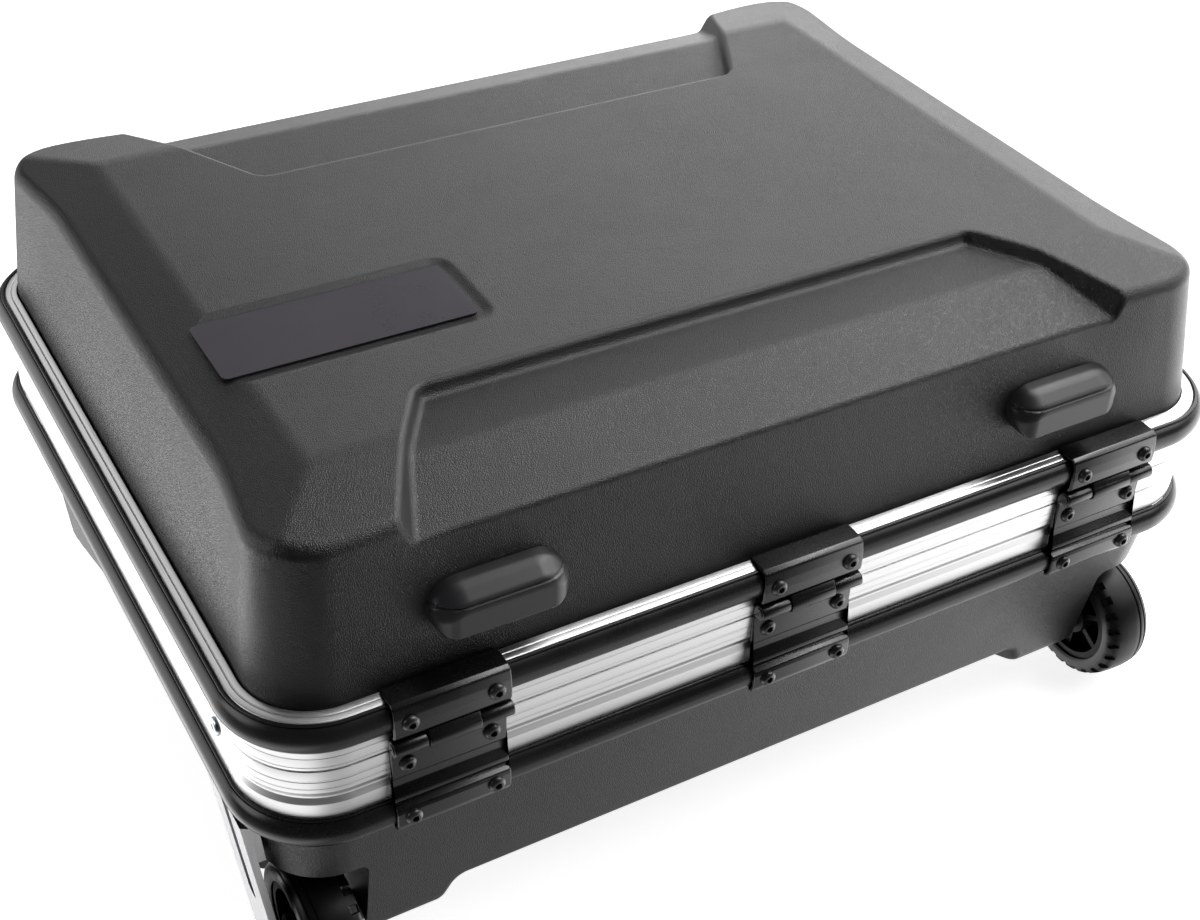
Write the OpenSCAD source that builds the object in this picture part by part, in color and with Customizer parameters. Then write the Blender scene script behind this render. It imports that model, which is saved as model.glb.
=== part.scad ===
// Hard tool case with a metal frame, hinged lid, rollers and a telescopic pull handle.
// Millimetres. +X runs along the hinge side, +Y from the hinge side to the latch side, +Z up.
// The origin is under the middle of the case, on the ground.

/* [Case] */
// Width of the metal frame, outside
frame_w = 488.6; // [460:0.1:520]
// Depth of the metal frame, outside
frame_d = 374.6; // [360:0.1:400]
// Corner radius of the metal frame
frame_r = 37; // [30:1:45]
// Height of the ledge on top of the lid frame, above the ground
ledge_z = 178; // [176:0.5:180]
// Wall of the moulded shells
wall = 3.2; // [2.4:0.1:4]
// Height of the lid's plateau over the ledge
lid_h = 75.5; // [72:0.5:78]

/* [Rubber trim] */
// How far the rubber trim stands out of the frame
trim_out = 5; // [3:0.5:5]
// Height of the rubber trim
trim_h = 15; // [12:1:15]

/* [Hinges] */
// Distance between two hinges
hinge_pitch = 168; // [150:1:180]
// Width of one hinge
hinge_w = 50; // [44:1:56]
// Radius of the hinge pin
pin_r = 2.3; // [2:0.1:2.4]
// Radial clearance of the turning hinge knuckle
pin_gap = 0.06; // [0.03:0.01:0.1]

/* [Rollers] */
// Radius of a roller
wheel_r = 33.3; // [30:0.1:33.3]
// Width of a roller
wheel_w = 26; // [22:1:26]
// Distance of the roller's outer side from the middle of the case
wheel_x = 231.5; // [229:0.5:232]

/* [Pull handle] */
// Distance of a pull handle tube from the middle
tube_x = 140; // [120:1:150]
// Width of the outer tube
tube_w = 24; // [22:1:28]
// Height of the outer tube
tube_h = 13; // [12:0.5:13]

/* [Carry handle] */
// Distance of a handle arm's middle from the middle of the case
arm_x = 64; // [56:1:72]
// Length of an arm from its pin to the grip
arm_l = 46; // [40:1:50]

/* [Latches] */
// Distance of a latch from the middle of the case
latch_x = 152; // [130:1:170]
// Width of a latch lever
latch_w = 46; // [36:1:54]

/* [Hidden] */
W = frame_w/2;
D = frame_d;
R = frame_r;
seam = 152.3;
band_z = 126;
y_min = -9.4;
y_max = D+27;
y_mid = (y_min+y_max)/2;
seg_r = (trim_h*trim_h/4+trim_out*trim_out)/(2*trim_out);
axle_y = 26.9;
axle_z = 33.3;
arm_y = D+15;
arm_z = 118;
lever_y = D+13;
lever_z = 107;
bar_y = 44;
bar_w = 40;
tube_z = 11;
hy = -5.2;
hz = ledge_z-20;
top_z = ledge_z+lid_h;

module place() { translate([0,-y_mid,0]) children(); }
module both() { children(); mirror([1,0,0]) children(); }

// rounded rectangle: half width w, from y0 to y1, corner radius r
module rrect(w,y0,y1,r) {
    translate([-w+r,y0]) square([2*(w-r),y1-y0]);
    translate([-w,y0+r]) square([2*w,y1-y0-2*r]);
    for (sx=[-1,1]) for (y=[y0+r,y1-r]) translate([sx*(w-r),y]) circle(r,$fn=96);
}
// ring between the insets s0 and s1 from the frame's face
module ring(s0,s1,z0,z1) {
    translate([0,0,z0]) linear_extrude(z1-z0) difference() {
        rrect(W-s0,s0,D-s0,R-s0);
        rrect(W-s1,s1,D-s1,R-s1);
    }
}
// cross-section of the rubber trim, at radius R
module seg2d() {
    intersection() {
        translate([R+trim_out-seg_r,0]) circle(seg_r,$fn=96);
        translate([R,-trim_h]) square([20,2*trim_h]);
    }
}
module trim(zc) {
    translate([0,0,zc]) union() {
        translate([-(W-R),D-R,0]) rotate([90,0,90]) linear_extrude(2*(W-R)) seg2d();
        translate([-(W-R),R,0]) mirror([0,1,0]) rotate([90,0,90]) linear_extrude(2*(W-R)) seg2d();
        both() translate([W-R,D-R,0]) rotate([90,0,0]) linear_extrude(D-2*R) seg2d();
        translate([W-R,R,0]) rotate([0,0,-90]) rotate_extrude(angle=90,$fn=96) seg2d();
        translate([W-R,D-R,0]) rotate_extrude(angle=90,$fn=96) seg2d();
        translate([-(W-R),D-R,0]) rotate([0,0,90]) rotate_extrude(angle=90,$fn=96) seg2d();
        translate([-(W-R),R,0]) rotate([0,0,180]) rotate_extrude(angle=90,$fn=96) seg2d();
    }
}
// prism along X from a (y,z) outline, half length h
module xprism(h,pts) { translate([-h,0,0]) rotate([90,0,90]) linear_extrude(2*h) polygon(pts); }

// ---- lid ----
module lid_hull(t) {
    hull() {
        translate([0,0,ledge_z-0.5]) linear_extrude(0.5) rrect(W-6.5-t,6.5+t,D-6.5-t,30.5-t,$fn=32);
        for (sx=[-1,1]) for (y=[15.5+27,D-14.5-27]) {
            translate([sx*(230.6-27),y,ledge_z+59-t]) cylinder(r=27-t,h=0.4,$fn=32);
            translate([sx*(228.6-25),y,ledge_z+64.5-t]) cylinder(r=25-t,h=0.4,$fn=32);
            translate([sx*(224-21),y,ledge_z+67.5-t]) cylinder(r=21-t,h=0.4,$fn=32);
        }
        translate([-195,60,top_z-0.5-t]) cube([390,254,0.5]);
    }
}
// the sunk field along the hinge side; t deepens and widens it
module lid_dip_front(t) {
    intersection() {
        xprism(200,[[-10,ledge_z+46-t],[18,ledge_z+57.5-t],[52,ledge_z+68-t],[83+t,ledge_z+69.8-t],[88+t,ledge_z+90],[-10,ledge_z+90]]);
        translate([0,0,ledge_z]) linear_extrude(100) polygon([[-178-t,-12],[-178-t,18],[-160-t,52],[-139-t,87+t],[139+t,87+t],[160+t,52],[178+t,18],[178+t,-12]]);
    }
}
module lid_dip_rear(t) {
    intersection() {
        xprism(200,[[D+10,ledge_z+46-t],[D-16,ledge_z+57.5-t],[D-52,ledge_z+68-t],[D-100-t,ledge_z+69.8-t],[D-105-t,ledge_z+90],[D+10,ledge_z+90]]);
        translate([0,0,ledge_z]) linear_extrude(100) polygon([[-176-t,D+12],[-176-t,D-18],[-160-t,D-48],[-132-t,D-103-t],[132+t,D-103-t],[160+t,D-48],[176+t,D-18],[176+t,D+12]]);
    }
}
module lid_shell() { color([0.10,0.10,0.11]) place() {
    difference() {
        lid_hull(0);
        lid_dip_front(0);
        lid_dip_rear(0);
        difference() {
            translate([0,0,-0.01]) lid_hull(wall);
            lid_dip_front(wall);
            lid_dip_rear(wall);
        }
        translate([0,0,ledge_z-1]) linear_extrude(1.2) rrect(W-6.5-wall,6.5+wall,D-6.5-wall,30.5-wall);
        translate([-205.5,121.5,top_z-0.9]) cube([114,43,2]);
    }
    ring(6.5,6.5+wall,160,ledge_z-0.3);
}}
module lid_frame() { color([0.82,0.83,0.85]) place() {
    difference() {
        union() {
            ring(0,2.4,seam+0.15,ledge_z);
            ring(2.4,6.4,ledge_z-2.4,ledge_z);
            ring(2.4,12,seam+0.15,seam+2.7);
        }
        ring(3.7,7.4,seam,seam+0.9);
        ring(-1,0.35,ledge_z-18.3,ledge_z-17.7);
    }
}}
module lid_trim() { color([0.07,0.07,0.07]) place() trim(ledge_z-trim_h/2); }

// ---- base ----
module base_hull(t) {
    hull() {
        translate([0,0,110.6]) linear_extrude(0.6) rrect(W-5-t,5+t,D-5-t,32-t,$fn=32);
        for (sx=[-1,1]) for (y=[19+27,D-18-27]) {
            translate([sx*(233-27),y,36+t]) cylinder(r=27-t,h=0.4,$fn=32);
            translate([sx*(231-25),y,29.5+t]) cylinder(r=25-t,h=0.4,$fn=32);
            translate([sx*(226-20),y,25+t]) cylinder(r=20-t,h=0.4,$fn=32);
        }
        translate([-200,56,18+t]) cube([400,264,0.5]);
    }
}
module base_dip_front(t) {
    intersection() {
        xprism(200,[[-10,52+t],[19,40+t],[52,28+t],[76+t,26+t],[82+t,5],[-10,5]]);
        translate([0,0,0]) linear_extrude(70) polygon([[-176-t,-12],[-168-t,18],[-150-t,52],[-130-t,80+t],[130+t,80+t],[150+t,52],[168+t,18],[176+t,-12]]);
    }
}
module base_dip_rear(t) {
    intersection() {
        xprism(200,[[D+10,52+t],[D-18,40+t],[D-52,28+t],[D-76-t,26+t],[D-82-t,5],[D+10,5]]);
        translate([0,0,0]) linear_extrude(70) polygon([[-180-t,D+12],[-176-t,D-18],[-168-t,D-52],[-158-t,D-80-t],[158+t,D-80-t],[168+t,D-52],[176+t,D-18],[180+t,D+12]]);
    }
}
// hollow for one roller, on the right
module wheel_well(t) {
    translate([199.5-t,0,0]) {
        translate([0,axle_y,axle_z]) rotate([0,90,0]) cylinder(r=46+t,h=60,$fn=96);
        translate([0,-20,-10]) cube([60,20+axle_y,axle_z+10+46+t]);
        translate([0,-20,-10]) cube([60,20+axle_y+46+t,axle_z+10]);
    }
}
module base_shell() { color([0.10,0.10,0.11]) place() {
    difference() {
        base_hull(0);
        base_dip_front(0);
        base_dip_rear(0);
        both() wheel_well(0);
        difference() {
            translate([0,0,0.01]) base_hull(wall);
            base_dip_front(wall);
            base_dip_rear(wall);
            both() wheel_well(wall);
        }
        translate([0,0,110.5]) linear_extrude(3) rrect(W-5-wall,5+wall,D-5-wall,32-wall);
        both() translate([190,axle_y,axle_z]) rotate([0,90,0]) cylinder(r=4,h=20,$fn=48);
        for (s=[-1,1]) translate([-242,bar_y+s*10.3,97]) rotate([0,90,0]) cylinder(r=2.05,h=10,$fn=48);
    }
    difference() {
        ring(2.6,5.9,110.8,146);
        translate([-W,50,145]) rotate([0,90,0]) cylinder(r=2.05,h=10,$fn=48);
    }
}}
module base_frame() { color([0.82,0.83,0.85]) place() {
    difference() {
        union() {
            ring(0,2.4,band_z,seam-0.15);
            ring(2.4,12,seam-2.7,seam-0.15);
        }
        ring(4,7,seam-2,seam+1);
        ring(-1,0.35,seam-7.4,seam-6.9);
        ring(-1,0.45,seam-15.2,seam-13.8);
        translate([-W-1,50,145]) rotate([0,90,0]) cylinder(r=2.05,h=10,$fn=48);
    }
}}
module base_trim() { color([0.07,0.07,0.07]) place() trim(band_z-trim_h/2); }
module lid_seal() { color([0.12,0.12,0.12]) place() ring(4.1,6.9,seam-2,seam+0.6); }

// ---- hinges ----
module lid_leaf(x) { color([0.06,0.06,0.065]) place() translate([x,0,0]) {
    difference() {
        union() {
            difference() {
                translate([0,0,ledge_z]) xprism(hinge_w/2,[[6.2,0.05],[6.2,1.9],[-1.2,1.9],[-4.2,1.1],[-6.2,-0.8],[-7,-3.2],[-7,-12.2],[-6.4,-14.6],[-5.6,-16.4],[-3.2,-16.4],[-4.4,-13.8],[-5.15,-11.8],[-5.15,-3.6],[-4.4,-1.4],[-3,-0.2],[-1,0.05]]);
                for (s=[-1,1]) translate([s*(hinge_w/4+5.6)-(hinge_w/4-5.5)+(-0.1),-12,ledge_z-25]) cube([hinge_w/2-10.9,14,9.7]);
            }
            translate([-11,hy,hz]) rotate([0,90,0]) cylinder(r=4.2,h=22,$fn=64);
        }
        translate([-13,hy,hz]) rotate([0,90,0]) cylinder(r=pin_r+pin_gap,h=26,$fn=64);
        for (s=[-1,1]) translate([s*18.3,0,ledge_z-7.2]) rotate([90,0,0]) cylinder(r=2,h=12,$fn=48);
    }
}}
module base_leaf(x) { color([0.06,0.06,0.065]) place() translate([x,0,0]) {
    difference() {
        union() {
            difference() {
                translate([0,0,ledge_z]) xprism(hinge_w/2,[[-0.35,-21.4],[-2.6,-21.4],[-2.6,-40.2],[-1.7,-41],[-1.7,-45.2],[-4.6,-49.4],[-4.6,-50.6],[-3.8,-51.6],[-3.8,-53],[-6.2,-53.8],[-7,-55.2],[-7,-62.6],[-6.3,-65],[-4.4,-66.6],[-2.4,-66.8],[-4.2,-64.2],[-5.15,-62.2],[-5.15,-57],[-4.4,-54.4],[-3.0,-52.6],[-0.02,-51.9],[-0.02,-26.6],[-0.35,-26.4]]);
                translate([-11.4,-10,ledge_z-25.2]) cube([22.8,12,8]);
            }
            for (s=[-1,1]) translate([s*18.2-6.8,hy,hz]) rotate([0,90,0]) cylinder(r=3.6,h=13.6,$fn=64);
        }
        translate([-30,hy,hz]) rotate([0,90,0]) cylinder(r=pin_r,h=60,$fn=64);
        for (s=[-1,1]) for (z=[-33,-59]) translate([s*18.3,0,ledge_z+z]) rotate([90,0,0]) cylinder(r=2,h=12,$fn=48);
    }
}}
module hinge_pins() { color([0.3,0.3,0.31]) place()
    for (x=[-hinge_pitch,0,hinge_pitch]) translate([x-26,hy,hz]) rotate([0,90,0]) cylinder(r=pin_r,h=52,$fn=64);
}
// socket button screw along -Y, seat at y
module button(x,y,z,l) {
    translate([x,y,z]) rotate([90,0,0]) difference() {
        union() {
            cylinder(r=3.7,h=1.1,$fn=48);
            translate([0,0,1.1]) cylinder(r1=3.7,r2=2.5,h=1.1,$fn=48);
            translate([0,0,-l]) cylinder(r=1.98,h=l+0.1,$fn=48);
        }
        translate([0,0,0.7]) cylinder(r=1.6,h=3,$fn=6);
    }
}
module hinge_screws_base() { color([0.1,0.1,0.1]) place()
    for (x=[-hinge_pitch,0,hinge_pitch]) for (s=[-1,1]) {
        button(x+s*18.3,-2.6,ledge_z-33,2.5);
        button(x+s*18.3,-7,ledge_z-59,1.8);
    }
}
module hinge_screws_lid() { color([0.1,0.1,0.1]) place()
    for (x=[-hinge_pitch,0,hinge_pitch]) for (s=[-1,1]) button(x+s*18.3,-7,ledge_z-7.2,1.8);
}

// ---- rollers ----
// slotted aluminium bar outside the left roller
module slotted_bar() { color([0.82,0.83,0.85]) place() mirror([1,0,0]) difference() {
    union() {
        translate([0,bar_y+bar_w/2,0]) rotate([90,0,0]) linear_extrude(bar_w) polygon([[247.55,112.5],[234.56,4],[231.36,4],[244.15,110.4]]);
        translate([0,bar_y+bar_w/2-4,0]) rotate([90,0,0]) linear_extrude(bar_w-8) polygon([[239.12,108],[237.09,84],[242,84],[245,108]]);
    }
    translate([220,bar_y-4.2,50.2]) cube([40,8.4,70]);
    translate([220,bar_y,50.2]) rotate([0,90,0]) cylinder(r=4.2,h=40,$fn=48);
    for (s=[-1,1]) translate([220,bar_y+s*10.3,97]) rotate([0,90,0]) cylinder(r=2,h=23.6,$fn=48);
}}
module wheel_axles() { color([0.7,0.7,0.72]) place() both() {
    translate([191,axle_y,axle_z]) rotate([0,90,0]) cylinder(r=4,h=43,$fn=48);
    translate([wheel_x+0.1,axle_y,axle_z]) rotate([0,90,0]) cylinder(r=6.2,h=2,$fn=48);
}}
module axle_caps() { color([0.8,0.8,0.82]) place() both()
    translate([199.6,axle_y,axle_z]) rotate([0,90,0]) difference() {
        union() { cylinder(r=8.5,h=2,$fn=48); cylinder(r=6,h=6.6,$fn=48); }
        translate([0,0,-1]) cylinder(r=4,h=10,$fn=48);
    }
}
// screws of the slotted bar, driven from inside the shell
module bar_screws() { color([0.75,0.75,0.77]) place() mirror([1,0,0])
    for (s=[-1,1]) translate([233.6,bar_y+s*10.3,97]) rotate([0,0,-90]) button(0,0,0,9.6);
}
// zinc screw in the left side of the base frame
module frame_screw() { color([0.75,0.75,0.77]) place() translate([-W,50,145]) rotate([0,-90,0]) difference() {
    union() {
        cylinder(r=4.4,h=1,$fn=48);
        translate([0,0,1]) cylinder(r1=4.4,r2=3.2,h=2.2,$fn=48);
        translate([0,0,-7]) cylinder(r=2,h=7.1,$fn=48);
    }
    translate([0,0,1.4]) for (a=[0,90]) rotate([0,0,a]) cube([4.6,0.9,4],center=true);
}}
module hub() {
    difference() {
        union() {
            cylinder(r=9,h=wheel_w-2.4,$fn=64);
            difference() {
                cylinder(r=23.6,h=wheel_w-4,$fn=96);
                translate([0,0,-1]) cylinder(r=20,h=wheel_w,$fn=96);
            }
            translate([0,0,9]) cylinder(r=21,h=4,$fn=96);
            for (i=[0:5]) rotate([0,0,60*i]) translate([6,-1.6,3]) cube([15,3.2,wheel_w-10]);
        }
        translate([0,0,-1]) cylinder(r=4.06,h=wheel_w+2,$fn=64);
    }
}
module tyre() {
    difference() {
        rotate_extrude($fn=96) difference() {
            polygon([[23.6,-1],[28.4,-1.6],[30.8,-0.4],[32.4,2.6],[33.1,7],[wheel_r,11],[33.1,15],[32.4,19.4],[30.8,22.4],[28.4,23.6],[23.6,23]]);
            translate([wheel_r,11]) square([0.6,2.4],center=true);
        }
        for (i=[0:35]) rotate([0,0,10*i]) {
            translate([32.9,0,-1.2]) cube([5,1.6,6.4],center=true);
            rotate([0,0,5]) translate([32.9,0,23.2]) cube([5,1.6,6.4],center=true);
        }
    }
}
module wheel_at() { translate([wheel_x-wheel_w+1.8,axle_y,axle_z]) rotate([0,90,0]) children(); }
module wheel_hub_right() { color([0.09,0.09,0.1]) place() wheel_at() hub(); }
module wheel_hub_left() { color([0.09,0.09,0.1]) place() mirror([1,0,0]) wheel_at() hub(); }
module wheel_tyre_right() { color([0.05,0.05,0.05]) place() wheel_at() tyre(); }
module wheel_tyre_left() { color([0.05,0.05,0.05]) place() mirror([1,0,0]) wheel_at() tyre(); }
module rear_feet() { color([0.06,0.06,0.06]) place() both() translate([184,302,0]) {
    cylinder(r1=13,r2=14.2,h=2.4,$fn=64);
    translate([0,0,2.4]) cylinder(r1=14.2,r2=16,h=15.5,$fn=64);
}}

// ---- lid fittings ----
module bumper(x) { color([0.06,0.06,0.065]) place() difference() {
    hull() {
        for (s=[-1,1]) translate([x+s*19.3,8,ledge_z+29.3]) rotate([-90,0,0]) cylinder(r=10.9,h=12,$fn=40);
        translate([x-26.6,2.6,ledge_z+18.8]) cube([53.2,1,15.4]);
        translate([x-21,-0.5,ledge_z+19.2]) cube([42,1,14.2]);
    }
    lid_hull(-0.02);
}}
module label_plate() { color([0.16,0.15,0.18]) place()
    translate([-204.9,122.1,top_z-0.9]) linear_extrude(0.8) {
        translate([3,0]) square([106.8,41.8]);
        translate([0,3]) square([112.8,35.8]);
        for (p=[[3,3],[109.8,3],[3,38.8],[109.8,38.8]]) translate(p) circle(3,$fn=48);
    }
}
module catch(x) { color([0.06,0.06,0.065]) place() difference() {
    translate([x-19,D+0.02,ledge_z-24.6]) cube([38,3,9]);
    for (s=[-1,1]) translate([x+s*13,D-1,ledge_z-20]) rotate([-90,0,0]) cylinder(r=2,h=8,$fn=48);
}
    color([0.06,0.06,0.065]) place() translate([x-8,D+2.9,ledge_z-24.2]) cube([16,4.4,4.6]);
}
module tool_board() { color([0.13,0.13,0.14]) place() {
    translate([0,0,ledge_z+31]) linear_extrude(3) rrect(226.5,18.5,D-18.5,20);
}}
module board_pockets(y) { color([0.13,0.13,0.14]) place() translate([-180,y,ledge_z+17]) difference() {
    cube([360,86,13.98]);
    for (x=[3,122,241]) translate([x,3,3]) cube([116,84,20]);
}}

// ---- base fittings ----
module sorting_tray() { color([0.2,0.2,0.21]) place() {
    difference() {
        translate([-186,94,21.4]) cube([372,176,40]);
        for (x=[-183.4,-61,61.4]) translate([x,96.6,24]) cube([x<-100?120:(x<0?120:122),170.8,60]);
    }
}}
module rivet_row(z,s) {
    for (x=[-150,-90,-30,30,90,150]) {
        translate([x,s,z]) rotate([-90,0,0]) cylinder(r=3.2,h=1.2,$fn=32);
        translate([x,D-s,z]) rotate([90,0,0]) cylinder(r=3.2,h=1.2,$fn=32);
    }
    both() for (y=[80,150,225,295]) translate([W-s,y,z]) rotate([0,-90,0]) cylinder(r=3.2,h=1.2,$fn=32);
}
module base_rivets() { color([0.7,0.7,0.72]) place() rivet_row(138,5.9); }
module lid_rivets() { color([0.7,0.7,0.72]) place() rivet_row(ledge_z-9,6.5+wall); }

// ---- latches ----
module latch_body(x) { color([0.06,0.06,0.065]) place() translate([x,0,0]) difference() {
    union() {
        xprism(27,[[D,127],[D,150.6],[D+4,150.6],[D+8.4,146],[D+8.4,100],[D+5.6,97],[D+5.6,127]]);
        for (s=[-1,1]) translate([s*26-1.5,lever_y,lever_z]) rotate([0,90,0]) cylinder(r=5,h=3,$fn=48);
        for (s=[-1,1]) translate([s*26-1.5,D+5.6,lever_z-5]) cube([3,lever_y-D-5.6,10]);
        translate([-26,lever_y,lever_z]) rotate([0,90,0]) cylinder(r=2,h=52,$fn=48);
    }
    for (s=[-1,1]) translate([s*20,D-1,136]) rotate([-90,0,0]) cylinder(r=2,h=12,$fn=48);
    for (s=[-1,1]) translate([s*20,D+5.8,136]) rotate([-90,0,0]) cylinder(r=4.2,h=5,$fn=48);
}}
module latch_lever(x) { color([0.07,0.07,0.075]) place() translate([x,0,0]) difference() {
    union() {
        xprism(latch_w/2,[[D+9.2,112],[D+9.2,160.4],[D+11.2,161.2],[D+12.6,160.2],[D+13.6,156],[D+15,148],[D+16.2,134],[D+16.6,107],[D+15.4,103.4],[D+12,103.4],[D+10.6,105.5]]);
        translate([-latch_w/2,lever_y,lever_z]) rotate([0,90,0]) cylinder(r=3.1,h=latch_w,$fn=48);
    }
    translate([-30,lever_y,lever_z]) rotate([0,90,0]) cylinder(r=2.06,h=60,$fn=48);
    translate([0,D,132]) rotate([-90,0,0]) cylinder(r=7.06,h=22,$fn=64);
    xprism(17,[[D+14.4,110],[D+15.2,114],[D+20,114],[D+20,110]]);
}}
module lock_cylinder(x) { color([0.75,0.75,0.77]) place() translate([x,D+9.6,132]) rotate([-90,0,0]) difference() {
    union() {
        cylinder(r=7,h=6.6,$fn=64);
        translate([0,0,6.6]) cylinder(r1=7,r2=6.2,h=0.8,$fn=64);
    }
    translate([-0.7,-3.6,4]) cube([1.4,7.2,6]);
    translate([0,0,4]) cylinder(r=1.9,h=6,$fn=32);
}}

// ---- carry handle ----
module handle_bracket(s) { color([0.06,0.06,0.065]) place() translate([s*arm_x,0,0]) difference() {
    union() {
        xprism(14,[[D,127],[D,150],[D+2.6,150],[D+6,147],[D+8.4,128],[D+8.4,106],[D+5.6,103],[D+5.6,127]]);
        for (q=[-1,1]) {
            translate([q*11.6-2.4,arm_y,arm_z]) rotate([0,90,0]) cylinder(r=7,h=4.8,$fn=64);
            translate([q*11.6-2.4,D+5.6,arm_z-7]) cube([4.8,arm_y-D-5.6,14]);
        }
    }
    translate([-16,arm_y,arm_z]) rotate([0,90,0]) cylinder(r=3,h=32,$fn=48);
    translate([0,D-1,140]) rotate([-90,0,0]) cylinder(r=2,h=14,$fn=48);
    translate([0,D+5,140]) rotate([-90,0,0]) cylinder(r=4.4,h=9,$fn=48);
    translate([-8.6,arm_y-0.4,arm_z-8]) cube([17.2,20,20]);
    translate([-8.6,arm_y,arm_z]) rotate([0,90,0]) cylinder(r=7.2,h=17.2,$fn=64);
}}
module handle_pins() { color([0.7,0.7,0.72]) place() for (s=[-1,1])
    translate([s*arm_x-14.2,arm_y,arm_z]) rotate([0,90,0]) cylinder(r=3,h=28.4,$fn=48);
}
module carry_handle() { color([0.09,0.09,0.1]) place() {
    difference() {
        union() {
            for (s=[-1,1]) {
                translate([s*arm_x-6,arm_y,arm_z]) rotate([0,90,0]) cylinder(r=6.6,h=12,$fn=64);
                translate([s*arm_x-6,arm_y-5.5,arm_z-arm_l]) cube([12,11,arm_l]);
                translate([s*arm_x-6,arm_y,arm_z-arm_l]) rotate([0,90,0]) cylinder(r=9,h=12,$fn=64);
            }
            translate([-arm_x,arm_y,arm_z-arm_l]) rotate([0,90,0]) cylinder(r=7,h=2*arm_x,$fn=64);
        }
        for (s=[-1,1]) translate([s*arm_x-10,arm_y,arm_z]) rotate([0,90,0]) cylinder(r=3.06,h=20,$fn=48);
    }
}}
module handle_grip() { color([0.05,0.05,0.05]) place()
    translate([-arm_x+6.2,arm_y,arm_z-arm_l]) rotate([0,90,0]) difference() {
        cylinder(r=12,h=2*arm_x-12.4,$fn=64);
        translate([0,0,-1]) cylinder(r=7,h=2*arm_x,$fn=64);
    }
}
// screws of the latches, the handle brackets and the catches
module rear_screws() { color([0.1,0.1,0.1]) place() {
    for (s=[-1,1]) {
        for (q=[-1,1]) translate([s*latch_x+q*20,D+5.8,136]) rotate([0,0,180]) button(0,0,0,5.7);
        translate([s*arm_x,D+5,140]) rotate([0,0,180]) button(0,0,0,4.9);
    }
}}

// ---- pull handle ----
module tube2d(w,h,r) {
    translate([-w/2+r,-h/2]) square([w-2*r,h]);
    translate([-w/2,-h/2+r]) square([w,h-2*r]);
    for (p=[[-1,-1],[1,-1],[-1,1],[1,1]]) translate([p[0]*(w/2-r),p[1]*(h/2-r)]) circle(r,$fn=32);
}
module tube(x,y0,y1,w,h,r,t) {
    translate([x,y1,tube_z]) rotate([90,0,0]) linear_extrude(y1-y0) difference() {
        tube2d(w,h,r);
        tube2d(w-2*t,h-2*t,r-t);
    }
}
module outer_tube(s) { color([0.78,0.79,0.81]) place() tube(s*tube_x,52,352,tube_w,tube_h,3,1.2); }
module middle_tube(s) { color([0.8,0.81,0.83]) place() tube(s*tube_x,64,358,tube_w-3.2,tube_h-3.2,2,1.1); }
module inner_tube(s) { color([0.82,0.83,0.85]) place() tube(s*tube_x,72,366,tube_w-6.2,tube_h-6.2,1.4,1.1); }
module pull_tube_end_caps() { color([0.06,0.06,0.06]) place() both() {
    translate([tube_x,51.98,tube_z]) rotate([90,0,0]) linear_extrude(4) tube2d(tube_w,tube_h,3);
    translate([tube_x-4.5,0,0]) xprism(4.5,[[49,17.52],[49,28.8],[52,27.7],[64,26.75],[64,17.52]]);
}}
module pull_tube_collars() { color([0.06,0.06,0.06]) place() both() {
    translate([tube_x,352,tube_z]) rotate([90,0,0]) linear_extrude(14) difference() {
        translate([0,1]) tube2d(tube_w+7,tube_h+7,4);
        tube2d(tube_w,tube_h,3);
    }
    translate([tube_x,0,0]) xprism(10,[[338,20],[338,33.3],[352,38.3],[352,20]]);
}}
module pull_grip() { color([0.07,0.07,0.075]) place() difference() {
    union() {
        translate([-118,384,tube_z]) rotate([0,90,0]) cylinder(r=9,h=236,$fn=64);
        both() {
            translate([tube_x-13,366.2,tube_z-8.5]) cube([26,9.4,17]);
            translate([118,375.2,tube_z]) rotate([0,90,0]) linear_extrude(34.9) translate([-8.5,0]) square([17,0.2]);
            translate([117.9,384,tube_z]) rotate([0,90,0]) cylinder(r=9,h=22,$fn=64);
            translate([139.9,384,tube_z]) sphere(r=9,$fn=48);
            translate([tube_x-13,375,tube_z]) rotate([0,90,0]) cylinder(r=8.4,h=26,$fn=64);
        }
    }
    translate([-18.3,384,tube_z-6.3]) cube([36.6,20,12.6]);
}}
module release_button() { color([0.5,0.5,0.52]) place() translate([-18,389.2,tube_z-6]) cube([36,6.4,12]); }

module hinge_lid_left() lid_leaf(-hinge_pitch);
module hinge_lid_middle() lid_leaf(0);
module hinge_lid_right() lid_leaf(hinge_pitch);
module hinge_base_left() base_leaf(-hinge_pitch);
module hinge_base_middle() base_leaf(0);
module hinge_base_right() base_leaf(hinge_pitch);

base_shell();
base_frame();
base_trim();
lid_seal();
hinge_base_left();
hinge_base_middle();
hinge_base_right();
hinge_pins();
hinge_screws_base();
slotted_bar();
wheel_axles();
axle_caps();
bar_screws();
frame_screw();
rear_feet();
outer_tube(-1);  // pull_tube_outer_left
outer_tube(1);  // pull_tube_outer_right
pull_tube_collars();
pull_tube_end_caps();
latch_body(-latch_x);  // latch_body_left
latch_body(latch_x);  // latch_body_right
handle_bracket(-1);  // handle_bracket_left
handle_bracket(1);  // handle_bracket_right
handle_pins();
rear_screws();
sorting_tray();
base_rivets();
lid_shell();
lid_frame();
lid_trim();
hinge_lid_left();
hinge_lid_middle();
hinge_lid_right();
hinge_screws_lid();
bumper(-141);  // bumper_left
bumper(141);  // bumper_right
label_plate();
catch(-latch_x);  // catch_left
catch(latch_x);  // catch_right
tool_board();
board_pockets(64);  // board_pockets_front
board_pockets(196);  // board_pockets_rear
lid_rivets();
wheel_hub_left();
wheel_tyre_left();
wheel_hub_right();
wheel_tyre_right();
latch_lever(-latch_x);  // latch_lever_left
latch_lever(latch_x);  // latch_lever_right
lock_cylinder(-latch_x);  // lock_cylinder_left
lock_cylinder(latch_x);  // lock_cylinder_right
carry_handle();
handle_grip();
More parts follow.
